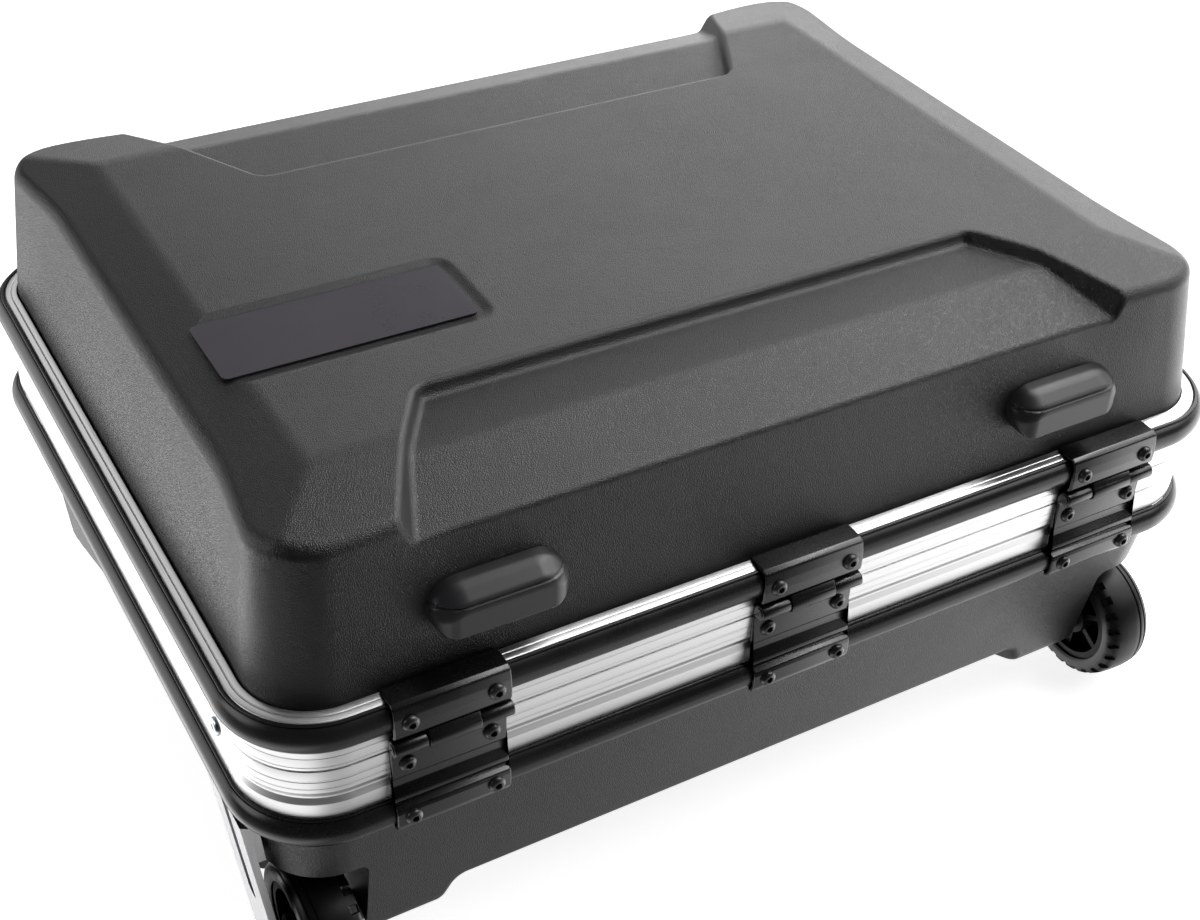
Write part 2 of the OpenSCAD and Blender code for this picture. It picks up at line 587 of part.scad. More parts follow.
middle_tube(-1);  // pull_tube_middle_left
middle_tube(1);  // pull_tube_middle_right
inner_tube(-1);  // pull_tube_inner_left
inner_tube(1);  // pull_tube_inner_right
pull_grip();
release_button();
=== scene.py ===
import math
import bpy
import numpy as np
from mathutils import Matrix, Vector


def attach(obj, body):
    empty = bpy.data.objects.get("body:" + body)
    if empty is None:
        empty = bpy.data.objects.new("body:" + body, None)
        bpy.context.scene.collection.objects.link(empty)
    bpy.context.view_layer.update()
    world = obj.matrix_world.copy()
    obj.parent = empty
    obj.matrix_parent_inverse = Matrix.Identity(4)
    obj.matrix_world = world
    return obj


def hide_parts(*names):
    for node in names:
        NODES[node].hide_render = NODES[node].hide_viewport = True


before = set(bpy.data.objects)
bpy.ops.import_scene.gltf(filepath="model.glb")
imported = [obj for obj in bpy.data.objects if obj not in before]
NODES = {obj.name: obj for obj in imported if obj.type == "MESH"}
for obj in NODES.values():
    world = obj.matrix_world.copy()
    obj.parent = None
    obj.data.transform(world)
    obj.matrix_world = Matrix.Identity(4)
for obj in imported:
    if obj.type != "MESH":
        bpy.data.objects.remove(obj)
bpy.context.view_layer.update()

YM = 196.1          # the row frame's y origin, in the design's millimetres
D = 374.6
W = 244.3
R = 37.0
LZ = 178.0

# ------------------------------------------------------------------ helpers


def smax(a, b, k):
    h = np.clip(0.5 + 0.5 * (a - b) / k, 0, 1)
    return b * (1 - h) + a * h + k * h * (1 - h)


def smin(a, b, k):
    return -smax(-a, -b, k)


def rmax(a, b, r):
    return np.minimum(-r, np.maximum(a, b)) + np.hypot(np.maximum(a + r, 0), np.maximum(b + r, 0))


def rmin(a, b, r):
    return -rmax(-a, -b, r)


def step01(a, b, x):
    t = np.clip((x - a) / (b - a), 0, 1)
    return t * t * (3 - 2 * t)


def build(name, V, F, body, mat, normals=None, uv=None, flat=False, replaces=()):
    """Mesh from design millimetres. F is a list of index arrays, each (n, k)."""
    V = np.asarray(V, float)
    P = V * 0.001
    P[:, 1] -= YM * 0.001
    me = bpy.data.meshes.new(name)
    loops = np.concatenate([f.ravel() for f in F]).astype(np.int32)
    tot = np.concatenate([np.full(len(f), f.shape[1]) for f in F]).astype(np.int32)
    start = np.concatenate([[0], np.cumsum(tot)[:-1]]).astype(np.int32)
    me.vertices.add(len(P))
    me.vertices.foreach_set("co", P.astype(np.float32).ravel())
    me.loops.add(len(loops))
    me.loops.foreach_set("vertex_index", loops)
    me.polygons.add(len(tot))
    me.polygons.foreach_set("loop_start", start)
    me.polygons.foreach_set("loop_total", tot)
    me.polygons.foreach_set("use_smooth", np.full(len(tot), not flat, dtype=bool))
    if uv is not None:
        lay = me.uv_layers.new(name="path")
        lay.data.foreach_set("uv", uv[loops].astype(np.float32).ravel())
    me.update(calc_edges=True)
    me.validate(clean_customdata=False)
    if normals is not None:
        me.normals_split_custom_set_from_vertices([tuple(n) for n in normals])
    ob = bpy.data.objects.new(name, me)
    bpy.context.scene.collection.objects.link(ob)
    me.materials.append(mat)
    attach(ob, body)
    if replaces:
        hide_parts(*replaces)
    return ob


def grid_faces(idx, wrap=False):
    """Quads of a 2-D array of vertex indices, closed along the first axis when wrap is set."""
    if wrap:
        idx = np.concatenate([idx, idx[:1]], 0)
    a = idx[:-1, :-1].ravel()
    b = idx[1:, :-1].ravel()
    c = idx[1:, 1:].ravel()
    d = idx[:-1, 1:].ravel()
    return np.stack([a, b, c, d], 1)


def sharpen(ob, angle=32):
    """Marks edges sharper than the angle, so that smooth shading stops there."""
    me = ob.data
    n = len(me.edges)
    fn = np.zeros(len(me.polygons) * 3)
    me.polygons.foreach_get("normal", fn)
    fn = fn.reshape(-1, 3)
    ev = np.zeros(n * 2, np.int64)
    me.edges.foreach_get("vertices", ev)
    first = np.full(n, -1)
    cosv = np.ones(n)
    count = np.zeros(n, int)
    le = np.zeros(len(me.loops), np.int64)
    me.loops.foreach_get("edge_index", le)
    lt = np.zeros(len(me.polygons), np.int64)
    me.polygons.foreach_get("loop_total", lt)
    fp = np.repeat(np.arange(len(me.polygons)), lt)
    for e, f in zip(le, fp):
        if first[e] < 0:
            first[e] = f
        else:
            cosv[e] = fn[first[e]] @ fn[f]
        count[e] += 1
    sharp = (cosv < math.cos(math.radians(angle))) | (count != 2)
    me.edges.foreach_set("use_edge_sharp", sharp)


# ------------------------------------------------------------------ materials


def make_material(name):
    m = bpy.data.materials.new(name)
    m.use_nodes = True
    t = m.node_tree
    for n in list(t.nodes):
        t.nodes.remove(n)
    out = t.nodes.new("ShaderNodeOutputMaterial")
    p = t.nodes.new("ShaderNodeBsdfPrincipled")
    t.links.new(p.outputs[0], out.inputs[0])
    return m, t, p


def node(t, kind, **kw):
    n = t.nodes.new(kind)
    for k, v in kw.items():
        if k.startswith("i_"):
            n.inputs[k[2:].replace("_", " ")].default_value = v
        else:
            setattr(n, k, v)
    return n


def math_node(t, op, a, b=None, c=None, clamp=False):
    n = t.nodes.new("ShaderNodeMath")
    n.operation = op
    n.use_clamp = clamp
    for i, v in enumerate((a, b, c)):
        if v is None:
            continue
        if isinstance(v, (int, float)):
            n.inputs[i].default_value = v
        else:
            t.links.new(v, n.inputs[i])
    return n.outputs[0]


def coords(t, scale=(1, 1, 1), kind="Object", rot=(0, 0, 0)):
    tc = t.nodes.new("ShaderNodeTexCoord")
    mp = t.nodes.new("ShaderNodeMapping")
    mp.inputs["Scale"].default_value = scale
    mp.inputs["Rotation"].default_value = rot
    t.links.new(tc.outputs[kind], mp.inputs["Vector"])
    return mp.outputs[0]


def noise(t, vec, scale, detail=3, rough=0.55, dist=0.0):
    n = t.nodes.new("ShaderNodeTexNoise")
    n.inputs["Scale"].default_value = scale
    n.inputs["Detail"].default_value = detail
    n.inputs["Roughness"].default_value = rough
    n.inputs["Distortion"].default_value = dist
    t.links.new(vec, n.inputs["Vector"])
    return n.outputs["Fac"]


def voronoi(t, vec, scale, feature="F1", rand=1.0):
    n = t.nodes.new("ShaderNodeTexVoronoi")
    n.feature = feature
    n.inputs["Scale"].default_value = scale
    n.inputs["Randomness"].default_value = rand
    t.links.new(vec, n.inputs["Vector"])
    return n.outputs["Distance"]


def ramp(t, fac, stops):
    n = t.nodes.new("ShaderNodeValToRGB")
    e = n.color_ramp.elements
    while len(e) < len(stops):
        e.new(0.5)
    for el, (pos, col) in zip(e, stops):
        el.position = pos
        el.color = (col, col, col, 1) if isinstance(col, (int, float)) else (*col, 1)
    t.links.new(fac, n.inputs[0])
    return n.outputs[0]


def map_range(t, fac, a, b, lo, hi):
    n = t.nodes.new("ShaderNodeMapRange")
    for i, v in ((1, a), (2, b), (3, lo), (4, hi)):
        n.inputs[i].default_value = v
    t.links.new(fac, n.inputs[0])
    return n.outputs[0]


def bump(t, height, strength, distance, chain=None):
    n = t.nodes.new("ShaderNodeBump")
    n.inputs["Strength"].default_value = strength
    n.inputs["Distance"].default_value = distance
    t.links.new(height, n.inputs["Height"])
    if chain is not None:
        t.links.new(chain, n.inputs["Normal"])
    return n.outputs[0]


def mix_col(t, fac, a, b):
    n = t.nodes.new("ShaderNodeMix")
    n.data_type = "RGBA"
    if isinstance(fac, (int, float)):
        n.inputs[0].default_value = fac
    else:
        t.links.new(fac, n.inputs[0])
    for i, v in ((6, a), (7, b)):
        if isinstance(v, tuple):
            n.inputs[i].default_value = (*v, 1)
        else:
            t.links.new(v, n.inputs[i])
    return n.outputs[2]


def plastic(name, c0, c1, r0, r1, grain=None, grain_strength=0.3, grain_mm=0.06, spec=0.5, wave=0.0, coat=0.0, scratch=0.0, dust=0.0):
    """Moulded or coated surface: tone and roughness drift, leather-like or fine grain, light wear."""
    m, t, p = make_material(name)
    v = coords(t)
    big = noise(t, v, 9.0, 4, 0.6)
    mid = noise(t, v, 60.0, 4, 0.6)
    fine = noise(t, v, 700.0, 3, 0.6)
    tone = math_node(t, "ADD", math_node(t, "MULTIPLY", big, 0.6), math_node(t, "MULTIPLY", mid, 0.4))
    tone = map_range(t, tone, 0.35, 0.65, 0, 1)
    t.links.new(mix_col(t, tone, c0, c1), p.inputs["Base Color"])
    rr = math_node(t, "ADD", math_node(t, "MULTIPLY", tone, 0.55), math_node(t, "MULTIPLY", fine, 0.45))
    rough = map_range(t, rr, 0.2, 0.8, r0, r1)
    if scratch:
        sv = coords(t, (1, 1, 1), rot=(0.3, 0.2, 0.6))
        st = t.nodes.new("ShaderNodeMapping")
        st.inputs["Scale"].default_value = (14, 420, 420)
        t.links.new(sv, st.inputs["Vector"])
        s = noise(t, st.outputs[0], 1.0, 2, 0.5, 0.6)
        s = map_range(t, s, 0.70, 0.76, 0, scratch)
        rough = math_node(t, "ADD", rough, s)
    t.links.new(rough, p.inputs["Roughness"])
    p.inputs["Specular IOR Level"].default_value = spec
    p.inputs["Coat Weight"].default_value = coat
    p.inputs["Coat Roughness"].default_value = 0.18
    chain = None
    if wave:
        chain = bump(t, noise(t, v, 14.0, 2, 0.4), wave, 0.004, chain)
    if grain == "leather":
        warp = noise(t, v, 260.0, 2, 0.5)
        wv = t.nodes.new("ShaderNodeVectorMath")
        wv.operation = "SCALE"
        t.links.new(v, wv.inputs[0])
        wv.inputs["Scale"].default_value = 1.0
        cells = voronoi(t, wv.outputs[0], 1150.0, "DISTANCE_TO_EDGE")
        cells2 = voronoi(t, wv.outputs[0], 1900.0, "SMOOTH_F1")
        h = math_node(t, "ADD", map_range(t, cells, 0.0, 0.22, 0, 1), math_node(t, "MULTIPLY", cells2, -0.35))
        h = math_node(t, "ADD", h, math_node(t, "MULTIPLY", warp, 0.5))
        chain = bump(t, h, grain_strength, grain_mm * 0.001, chain)
    elif grain == "fine":
        h = noise(t, v, 1500.0, 2, 0.6)
        chain = bump(t, h, grain_strength, grain_mm * 0.001, chain)
    elif grain == "peel":
        h = noise(t, v, 900.0, 2, 0.5)
        chain = bump(t, h, grain_strength, grain_mm * 0.001, chain)
    if chain is not None:
        t.links.new(chain, p.inputs["Normal"])
    return m


def brushed(name, c0, c1, r0, r1, streak=(6.0, 2600.0), uv=True, strength=0.25, aniso=0.5, axis="x", lines=0.0, scratch=True):
    """Drawn metal with streaks along its length."""
    m, t, p = make_material(name)
    if uv:
        v = coords(t, (streak[0], streak[1], 1), "UV")
        vb = coords(t, (streak[0] * 0.35, 260.0, 1), "UV")
        vs = coords(t, (34.0, 900.0, 1), "UV", (0, 0, 0.05))
        vl = coords(t, (0.02, 420.0, 1), "UV")
    else:
        sc = {"x": (streak[0], streak[1], streak[1]), "y": (streak[1], streak[0], streak[1]), "z": (streak[1], streak[1], streak[0])}[axis]
        v = coords(t, sc)
        vb = coords(t, tuple(a * 0.2 for a in sc))
        vs = coords(t, (60, 700, 700), rot=(0, 0, 0.2))
        vl = vb
    s = noise(t, v, 1.0, 3, 0.6)
    b = noise(t, vb, 1.0, 3, 0.6)
    mixed = math_node(t, "ADD", math_node(t, "MULTIPLY", s, 0.6), math_node(t, "MULTIPLY", b, 0.4))
    tone = map_range(t, mixed, 0.3, 0.7, 0, 1)
    col = mix_col(t, tone, c0, c1)
    if lines:
        ln = noise(t, vl, 1.0, 2, 0.7)
        ln = map_range(t, ln, 0.60, 0.68, 0, lines)
        col = mix_col(t, ln, col, (0.30, 0.30, 0.31))
    t.links.new(col, p.inputs["Base Color"])
    p.inputs["Metallic"].default_value = 1.0
    rough = map_range(t, tone, 0, 1, r0, r1)
    if scratch:
        sc2 = map_range(t, noise(t, vs, 1.0, 2, 0.5, 0.4), 0.66, 0.74, 0, 0.12)
        rough = math_node(t, "ADD", rough, sc2)
    t.links.new(rough, p.inputs["Roughness"])
    p.inputs["Anisotropic"].default_value = aniso
    if uv and aniso:
        tg = t.nodes.new("ShaderNodeTangent")
        tg.direction_type = "UV_MAP"
        tg.uv_map = "path"
        t.links.new(tg.outputs[0], p.inputs["Tangent"])
    ch = bump(t, mixed, strength * 0.5, 0.00003)
    t.links.new(ch, p.inputs["Normal"])
    return m


M = {}
M["shell"] = plastic("moulded_black_leather", (0.0065, 0.0065, 0.0066), (0.010, 0.010, 0.0102), 0.29, 0.37, "leather", 1.0, 0.075, wave=0.10, scratch=0.04)
M["shell_in"] = plastic("moulded_black_inside", (0.018, 0.018, 0.019), (0.026, 0.026, 0.027), 0.5, 0.62, "fine", 0.4, 0.05)
M["alu"] = brushed("brushed_aluminium", (0.76, 0.76, 0.765), (0.92, 0.92, 0.915), 0.28, 0.42, lines=0.09)
M["trim"] = plastic("trim_rubber", (0.007, 0.007, 0.007), (0.012, 0.012, 0.012), 0.22, 0.32, "fine", 0.2, 0.02, spec=0.5)
M["seal"] = plastic("seal_rubber", (0.012, 0.012, 0.012), (0.02, 0.02, 0.02), 0.6, 0.75, "fine", 0.3, 0.04)
M["hinge"] = plastic("hinge_black_coat", (0.003, 0.003, 0.0031), (0.006, 0.006, 0.0061), 0.20, 0.30, "peel", 0.25, 0.02, spec=0.75, scratch=0.05)
M["screw"] = plastic("screw_black", (0.008, 0.008, 0.008), (0.018, 0.018, 0.018), 0.22, 0.36, "peel", 0.3, 0.02, spec=0.8)
M["bumper"] = plastic("bumper_rubber", (0.013, 0.0125, 0.0145), (0.020, 0.0195, 0.022), 0.30, 0.40, "fine", 0.4, 0.03, spec=0.5)
M["fitting"] = plastic("fitting_black", (0.012, 0.012, 0.0125), (0.019, 0.019, 0.0195), 0.36, 0.48, "fine", 0.4, 0.04)
M["plate"] = plastic("plate_film", (0.026, 0.022, 0.031), (0.033, 0.029, 0.039), 0.26, 0.34, "peel", 0.15, 0.02, scratch=0.04)
M["hub"] = plastic("hub_black", (0.005, 0.005, 0.005), (0.006, 0.006, 0.006), 0.50, 0.62, "fine", 0.3, 0.03, spec=0.2)
M["tyre"] = plastic("tyre_rubber", (0.004, 0.004, 0.004), (0.008, 0.008, 0.008), 0.30, 0.44, "fine", 0.5, 0.05, spec=0.34)
M["foot"] = plastic("foot_rubber", (0.012, 0.012, 0.012), (0.02, 0.02, 0.02), 0.55, 0.7, "fine", 0.4, 0.05)
M["tray"] = plastic("tray_grey", (0.055, 0.055, 0.058), (0.075, 0.075, 0.078), 0.45, 0.58, "fine", 0.4, 0.05)
M["board"] = plastic("board_black", (0.02, 0.02, 0.021), (0.03, 0.03, 0.031), 0.5, 0.65, "leather", 0.4, 0.05)
M["button"] = plastic("button_grey", (0.20, 0.20, 0.205), (0.25, 0.25, 0.255), 0.38, 0.5, "fine", 0.3, 0.03)
M["tube"] = brushed("tube_aluminium", (0.62, 0.62, 0.63), (0.78, 0.78, 0.79), 0.26, 0.38, uv=False, axis="y", aniso=0.0)
M["bar"] = brushed("bar_aluminium", (0.62, 0.62, 0.63), (0.80, 0.80, 0.81), 0.28, 0.42, uv=False, axis="z", aniso=0.0)
M["steel"] = brushed("pin_steel", (0.42, 0.42, 0.43), (0.58, 0.58, 0.59), 0.22, 0.34, uv=False, axis="x", aniso=0.0)
M["chrome"] = brushed("cap_chrome", (0.70, 0.70, 0.72), (0.80, 0.80, 0.82), 0.10, 0.18, uv=False, axis="x", aniso=0.0, strength=0.08)
M["zinc"] = brushed("zinc_blue", (0.66, 0.71, 0.76), (0.84, 0.88, 0.92), 0.22, 0.36, uv=False, axis="x", aniso=0.0, strength=0.2)
M["pin_black"] = plastic("pin_black", (0.006, 0.006, 0.006), (0.012, 0.012, 0.012), 0.2, 0.3, "peel", 0.2, 0.02, spec=0.7)

# ------------------------------------------------------------------ shells


def lid_field(x, y, z):
    """Below zero inside the lid. x, y design millimetres, z over the ledge."""
    ax = np.abs(x)
    yf, yr = y, D - y
    ye = np.minimum(yf, yr)
    mid = (ax - (237.85 - 0.2 * z)) * 0.98
    facet = (ax - (243.0 - 0.135 * ye - 0.1158 * z)) * 0.985
    cap = (ax - (237.9 - 0.107 * z)) * 0.994
    side = smax(smin(mid, facet, 2.0), cap, 3.0)
    e = step01(150, 200, ax)
    front = (6.95 - 0.4 * e + (0.19 - 0.04 * e) * z - yf) * 0.984
    rear = (6.95 - 0.4 * e + (0.19 - 0.085 * e) * z - yr) * 0.984
    ends = np.maximum(front, rear)
    walls = rmax(side, ends, 30.5 - 0.05 * z)
    top = smax(z - 75.5, (z - (75.5 - 0.239 * (ax - 196))) * 0.973, 0.7)
    top = smax(top, (z - (75.5 - 0.1875 * (58 - ye))) * 0.983, 0.9)
    body = rmax(top, walls, 4.6)
    # the sunk field on the hinge side
    s1 = (ax - (139 + 0.639 * (86 - yf))) * 0.843
    s2 = (ax - (162.7 + 0.6 * (50 - yf))) * 0.857
    d = rmax(smax(s1, s2, 1.0), yf - 86, 4.5)
    wall_f = (d + 0.5 * (75.5 - z)) * 0.894
    zf = smin(69.5 + 0 * yf, 57.5 + 0.353 * (yf - 18), 1.2)
    cut_f = rmax((zf - z) * 0.96, wall_f, 1.8)
    # and on the latch side
    s = (ax - (131 + 0.53 * (103 - yr))) * 0.884
    d = rmax(s, yr - 103, 5.0)
    wall_r = (d + 0.5 * (75.5 - z)) * 0.894
    zr = smin(69.5 + 0 * yr, 57.5 + 0.353 * (yr - 18), 1.2)
    cut_r = rmax((zr - z) * 0.96, wall_r, 1.8)
    body = rmax(body, -cut_f, 1.7)
    body = rmax(body, -cut_r, 1.5)
    # flat seat for the plate
    px, py = np.abs(x + 148.5) - 58.6, np.abs(y - 143.0) - 23.1
    dp = rmax(px, py, 5.0)
    return np.maximum(body, z - (74.35 + 1.15 * step01(-0.6, 5.2, dp)))


def base_field(x, y, z):
    """Below zero inside the base. z design millimetres over the ground."""
    ax = np.abs(x)
    yf, yr = y, D - y
    ye = np.minimum(yf, yr)
    d = 110.6 - z
    mid = (ax - (239.2 - 0.17 * d)) * 0.985
    facet = (ax - (244.3 - 0.135 * ye - 0.06 * d)) * 0.99
    cap = (ax - (239.3 - 0.06 * d)) * 0.998
    side = smax(smin(mid, facet, 2.0), cap, 3.0)
    e = step01(150, 200, ax)
    front = (5.2 + 0.155 * d - yf) * 0.988
    rear = (5.2 + 0.155 * d - yr) * 0.988
    walls = rmax(side, np.maximum(front, rear), 32 - 0.05 * d)
    low = smax(18 - z, (18 + 0.2 * (ax - 196) - z) * 0.98, 1.6)
    low = smax(low, (18 + 0.17 * (58 - ye) - z) * 0.985, 1.6)
    body = rmax(low, walls, 6.0)
    s = smax((ax - (130 + 0.66 * (80 - yf))) * 0.84, (ax - (168 + 0.3 * (18 - yf))) * 0.96, 4.0)
    dd = rmax(s, yf - 82, 7.0)
    zf = smax(26 + 0 * yf, 40.0 - 0.353 * (yf - 18), 3.0)
    cut_f = rmax((z - zf) * 0.96, (dd + 0.5 * (z - 18)) * 0.894, 3.2)
    s = smax((ax - (158 + 0.36 * (80 - yr))) * 0.94, (ax - 178), 4.0)
    dd = rmax(s, yr - 82, 7.0)
    zr = smax(26 + 0 * yr, 40.0 - 0.353 * (yr - 18), 3.0)
    cut_r = rmax((z - zr) * 0.96, (dd + 0.5 * (z - 18)) * 0.894, 3.2)
    body = rmax(body, -cut_f, 2.6)
    return rmax(body, -cut_r, 2.6)


def well_field(x, y, z, t=0.0):
    """Below zero in the hollow of a roller, t mm larger all round."""
    ax = np.abs(x)
    r = 46.0 + t
    up = rmax(z - (33.3 + r), (y - (26.9 + r)), 44.0)
    return rmax(up, (199.5 - t) - ax, 5.0)


def solve(field, O, Dir, far, offset=0.0):
    """Distance along each ray to where field + offset crosses zero, from inside."""
    lo = np.zeros(len(O))
    hi = np.full(len(O), float(far))
    for _ in range(22):
        m = (lo + hi) / 2
        p = O + Dir * m[:, None]
        inside = field(p[:, 0], p[:, 1], p[:, 2]) + offset < 0
        lo = np.where(inside, m, lo)
        hi = np.where(inside, hi, m)
    m = (lo + hi) / 2
    return O + Dir * m[:, None]


def gradient(field, P, h=0.05):
    g = np.zeros_like(P)
    for i in range(3):
        d = np.zeros(3)
        d[i] = h
        a, b = P + d, P - d
        g[:, i] = field(a[:, 0], a[:, 1], a[:, 2]) - field(b[:, 0], b[:, 1], b[:, 2])
    return g / np.maximum(np.linalg.norm(g, axis=1)[:, None], 1e-9)


def skin(field, res, hw, y0, y1, rad, z_core, z_rim, up, offset=0.0):
    """Grid over a box-like shell: a field of rays along the height, a fan over the edge and rows down the walls.
    Returns vertices and quads. up is 1 for a lid and -1 for a tub."""
    nx = int(round(2 * hw / res / 2)) * 2
    ny = int(round((y1 - y0) / res / 2)) * 2
    gx = np.linspace(-hw, hw, nx + 1)
    gy = np.linspace(y0, y1, ny + 1)
    X, Y = np.meshgrid(gx, gy, indexing="ij")
    cy = (y0 + y1) / 2
    hh = (y1 - y0) / 2
    a = (np.abs(X) - (hw - rad)) / rad
    b = (np.abs(Y - cy) - (hh - rad)) / rad
    c = (a > 0) & (b > 0)
    aa, bb = np.where(c, a, 0), np.where(c, b, 0)
    m = np.maximum(aa, bb)
    lo = np.minimum(aa, bb)
    ang = np.where(aa >= bb, np.pi / 4 * lo / np.maximum(m, 1e-9), np.pi / 2 - np.pi / 4 * lo / np.maximum(m, 1e-9))
    X = np.where(c, np.sign(X) * ((hw - rad) + rad * m * np.cos(ang)), X)
    Y = np.where(c, cy + np.sign(Y - cy) * ((hh - rad) + rad * m * np.sin(ang)), Y)
    O = np.stack([X.ravel(), Y.ravel(), np.full(X.size, z_core)], 1)
    Dz = np.zeros_like(O)
    Dz[:, 2] = up
    top = solve(field, O, Dz, 60, offset)
    idx = np.arange((nx + 1) * (ny + 1)).reshape(nx + 1, ny + 1)
    # the border, anticlockwise from the corner (-x, -y)
    br = np.concatenate([idx[:-1, 0], idx[-1, :-1], idx[:0:-1, -1], idx[0, :0:-1]])
    B = np.stack([X.ravel()[br], Y.ravel()[br]], 1)
    # outward direction at the border
    n = np.zeros_like(B)
    qx = np.clip(B[:, 0], -(hw - rad), hw - rad)
    qy = np.clip(B[:, 1], cy - (hh - rad), cy + (hh - rad))
    n = np.stack([B[:, 0] - qx, B[:, 1] - qy], 1)
    n /= np.maximum(np.linalg.norm(n, axis=1)[:, None], 1e-9)
    nf = int(round(44 / res))
    fan = np.linspace(0, np.pi / 2, nf + 1)[1:]
    zs = np.linspace(z_core, z_rim, max(3, int(round(abs(z_core - z_rim) / (res * 1.5)))) + 1)[1:]
    OO, DD = [], []
    for f in fan:
        OO.append(np.column_stack([B, np.full(len(B), z_core)]))
        DD.append(np.column_stack([n * math.sin(f), np.full(len(B), up * math.cos(f))]))
    for z in zs:
        OO.append(np.column_stack([B, np.full(len(B), z)]))
        DD.append(np.column_stack([n, np.zeros(len(B))]))
    rows = len(fan) + len(zs)
    Wp = solve(field, np.concatenate(OO), np.concatenate(DD), 75, offset)
    V = np.concatenate([top, Wp])
    wi = np.concatenate([br[None, :], len(top) + np.arange(rows * len(B)).reshape(rows, len(B))]).T
    F = np.concatenate([grid_faces(idx), grid_faces(wi, wrap=True)[:, ::-1]])
    rim = wi[:, -1]
    return V, F, rim


def orient(V, F, N):
    """Turns faces so that they look along the vertex normals."""
    a = V[F[:, 2]] - V[F[:, 0]]
    b = V[F[:, 3]] - V[F[:, 1]]
    fn = np.cross(a, b)
    bad = (fn * N[F[:, 0]]).sum(1) < 0
    F[bad] = F[bad][:, ::-1]
    return F


def clip(V, N, F, keep):
    """Keeps the part of a quad mesh where keep >= 0, cutting the quads that cross it."""
    inside = keep[F] >= 0
    whole = F[inside.all(1)]
    part = F[inside.any(1) & ~inside.all(1)]
    newV, newN, polys, cache = [], [], {}, {}
    base = len(V)
    for q in part:
        ring = []
        for i in range(4):
            a, b = int(q[i]), int(q[(i + 1) % 4])
            ka, kb = keep[a], keep[b]
            if ka >= 0:
                ring.append(a)
            if (ka >= 0) != (kb >= 0):
                key = (min(a, b), max(a, b))
                if key not in cache:
                    s = keep[key[0]] / (keep[key[0]] - keep[key[1]])
                    cache[key] = base + len(newV)
                    newV.append(V[key[0]] * (1 - s) + V[key[1]] * s)
                    nn = N[key[0]] * (1 - s) + N[key[1]] * s
                    newN.append(nn / np.linalg.norm(nn))
                ring.append(cache[key])
        if len(ring) >= 3:
            polys.setdefault(len(ring), []).append(ring)
    if newV:
        V = np.concatenate([V, np.array(newV)])
        N = np.concatenate([N, np.array(newN)])
    out = [whole] + [np.array(p) for p in polys.values()]
    return V, N, out


def compact(V, N, faces):
    used = np.unique(np.concatenate([f.ravel() for f in faces]))
    new = np.full(len(V), -1)
    new[used] = np.arange(len(used))
    return V[used], N[used], [new[f] for f in faces]


def shell_parts(field, sets, z_flip, wells=False):
    """Outer and inner skin, built separately, each with the indices of its rim."""
    out = []
    for res, hw, y0, y1, rad, zc, zr, off in sets:
        V, F, rim = skin(field, res, hw, y0, y1, rad, zc, zr, z_flip, off)
        N = gradient(field, V)
        F = orient(V, F, N)
        out.append((V, F, N, rim, off))
    return out


RES = 1.15
lid_sets = [(RES, 208, 34, D - 34, 22, 40, 0.05, 0.0), (RES * 2, 204, 37, D - 37, 20, 40, 0.05, 3.2)]
base_sets = [(RES, 208, 34, D - 34, 22, 66, 110.5, 0.0), (RES * 2, 204, 37, D - 37, 20, 68, 110.5, 3.2)]


parts = shell_parts(lid_field, lid_sets, 1)
(Vo, Fo, No, rimo, _), (Vi, Fi, Ni, rimi, _) = parts
Vo = Vo + [0, 0, LZ]
Vi = Vi + [0, 0, LZ]


def close_down(V, N, rim, z, s):
    """A straight row below the rim, at the height z."""
    low = V[rim].copy()
    low[:, 2] = z
    n = N[rim].copy()
    n[:, 2] = 0
    n /= np.linalg.norm(n, axis=1)[:, None]
    k = len(V)
    idx = np.stack([rim, k + np.arange(len(rim))], 1)
    return np.concatenate([V, low]), np.concatenate([N, n]), grid_faces(idx, wrap=True), k + np.arange(len(rim))


Vo, No, Fd, lowo = close_down(Vo, No, rimo, 160.0, 1)
Fd = orient(Vo, Fd, No)
outer_lid = build("lid_skin", Vo, [Fo, Fd], "lid", M["shell"], normals=No, replaces=["lid_shell"])
Ni = -Ni
Fi = orient(Vi, Fi, Ni)
Vi, Ni, Fd, lowi = close_down(Vi, Ni, rimi, 160.0, 1)
Fd = orient(Vi, Fd, Ni)
inner_lid = build("lid_lining", Vi, [Fi, Fd], "lid", M["shell_in"], normals=Ni, replaces=["lid_shell"])

(Vo, Fo, No, rimo, _), (Vi, Fi, Ni, rimi, _) = shell_parts(base_field, base_sets, -1)
keep = well_field(Vo[:, 0], Vo[:, 1], Vo[:, 2])
Vo, No, Fd, lowo = close_down(Vo, No, rimo, 111.5, 1)
Fd = orient(Vo, Fd, No)
keep = well_field(Vo[:, 0], Vo[:, 1], Vo[:, 2])
Vc, Nc, Fc = clip(Vo, No, np.concatenate([Fo, Fd]), keep)
Vc, Nc, Fc = compact(Vc, Nc, Fc)
base_skin = build("base_skin", Vc, Fc, "base", M["shell"], normals=Nc, replaces=["base_shell"])
Ni = -Ni
Fi = orient(Vi, Fi, Ni)
Vi, Ni, Fd, lowi = close_down(Vi, Ni, rimi, 146.0, 1)
Fd = orient(Vi, Fd, Ni)
keep = well_field(Vi[:, 0], Vi[:, 1], Vi[:, 2], 3.2)
Vc, Nc, Fc = clip(Vi, Ni, np.concatenate([Fi, Fd]), keep)
Vc, Nc, Fc = compact(Vc, Nc, Fc)
base_lining = build("base_lining", Vc, Fc, "base", M["shell_in"], normals=Nc, replaces=["base_shell"])


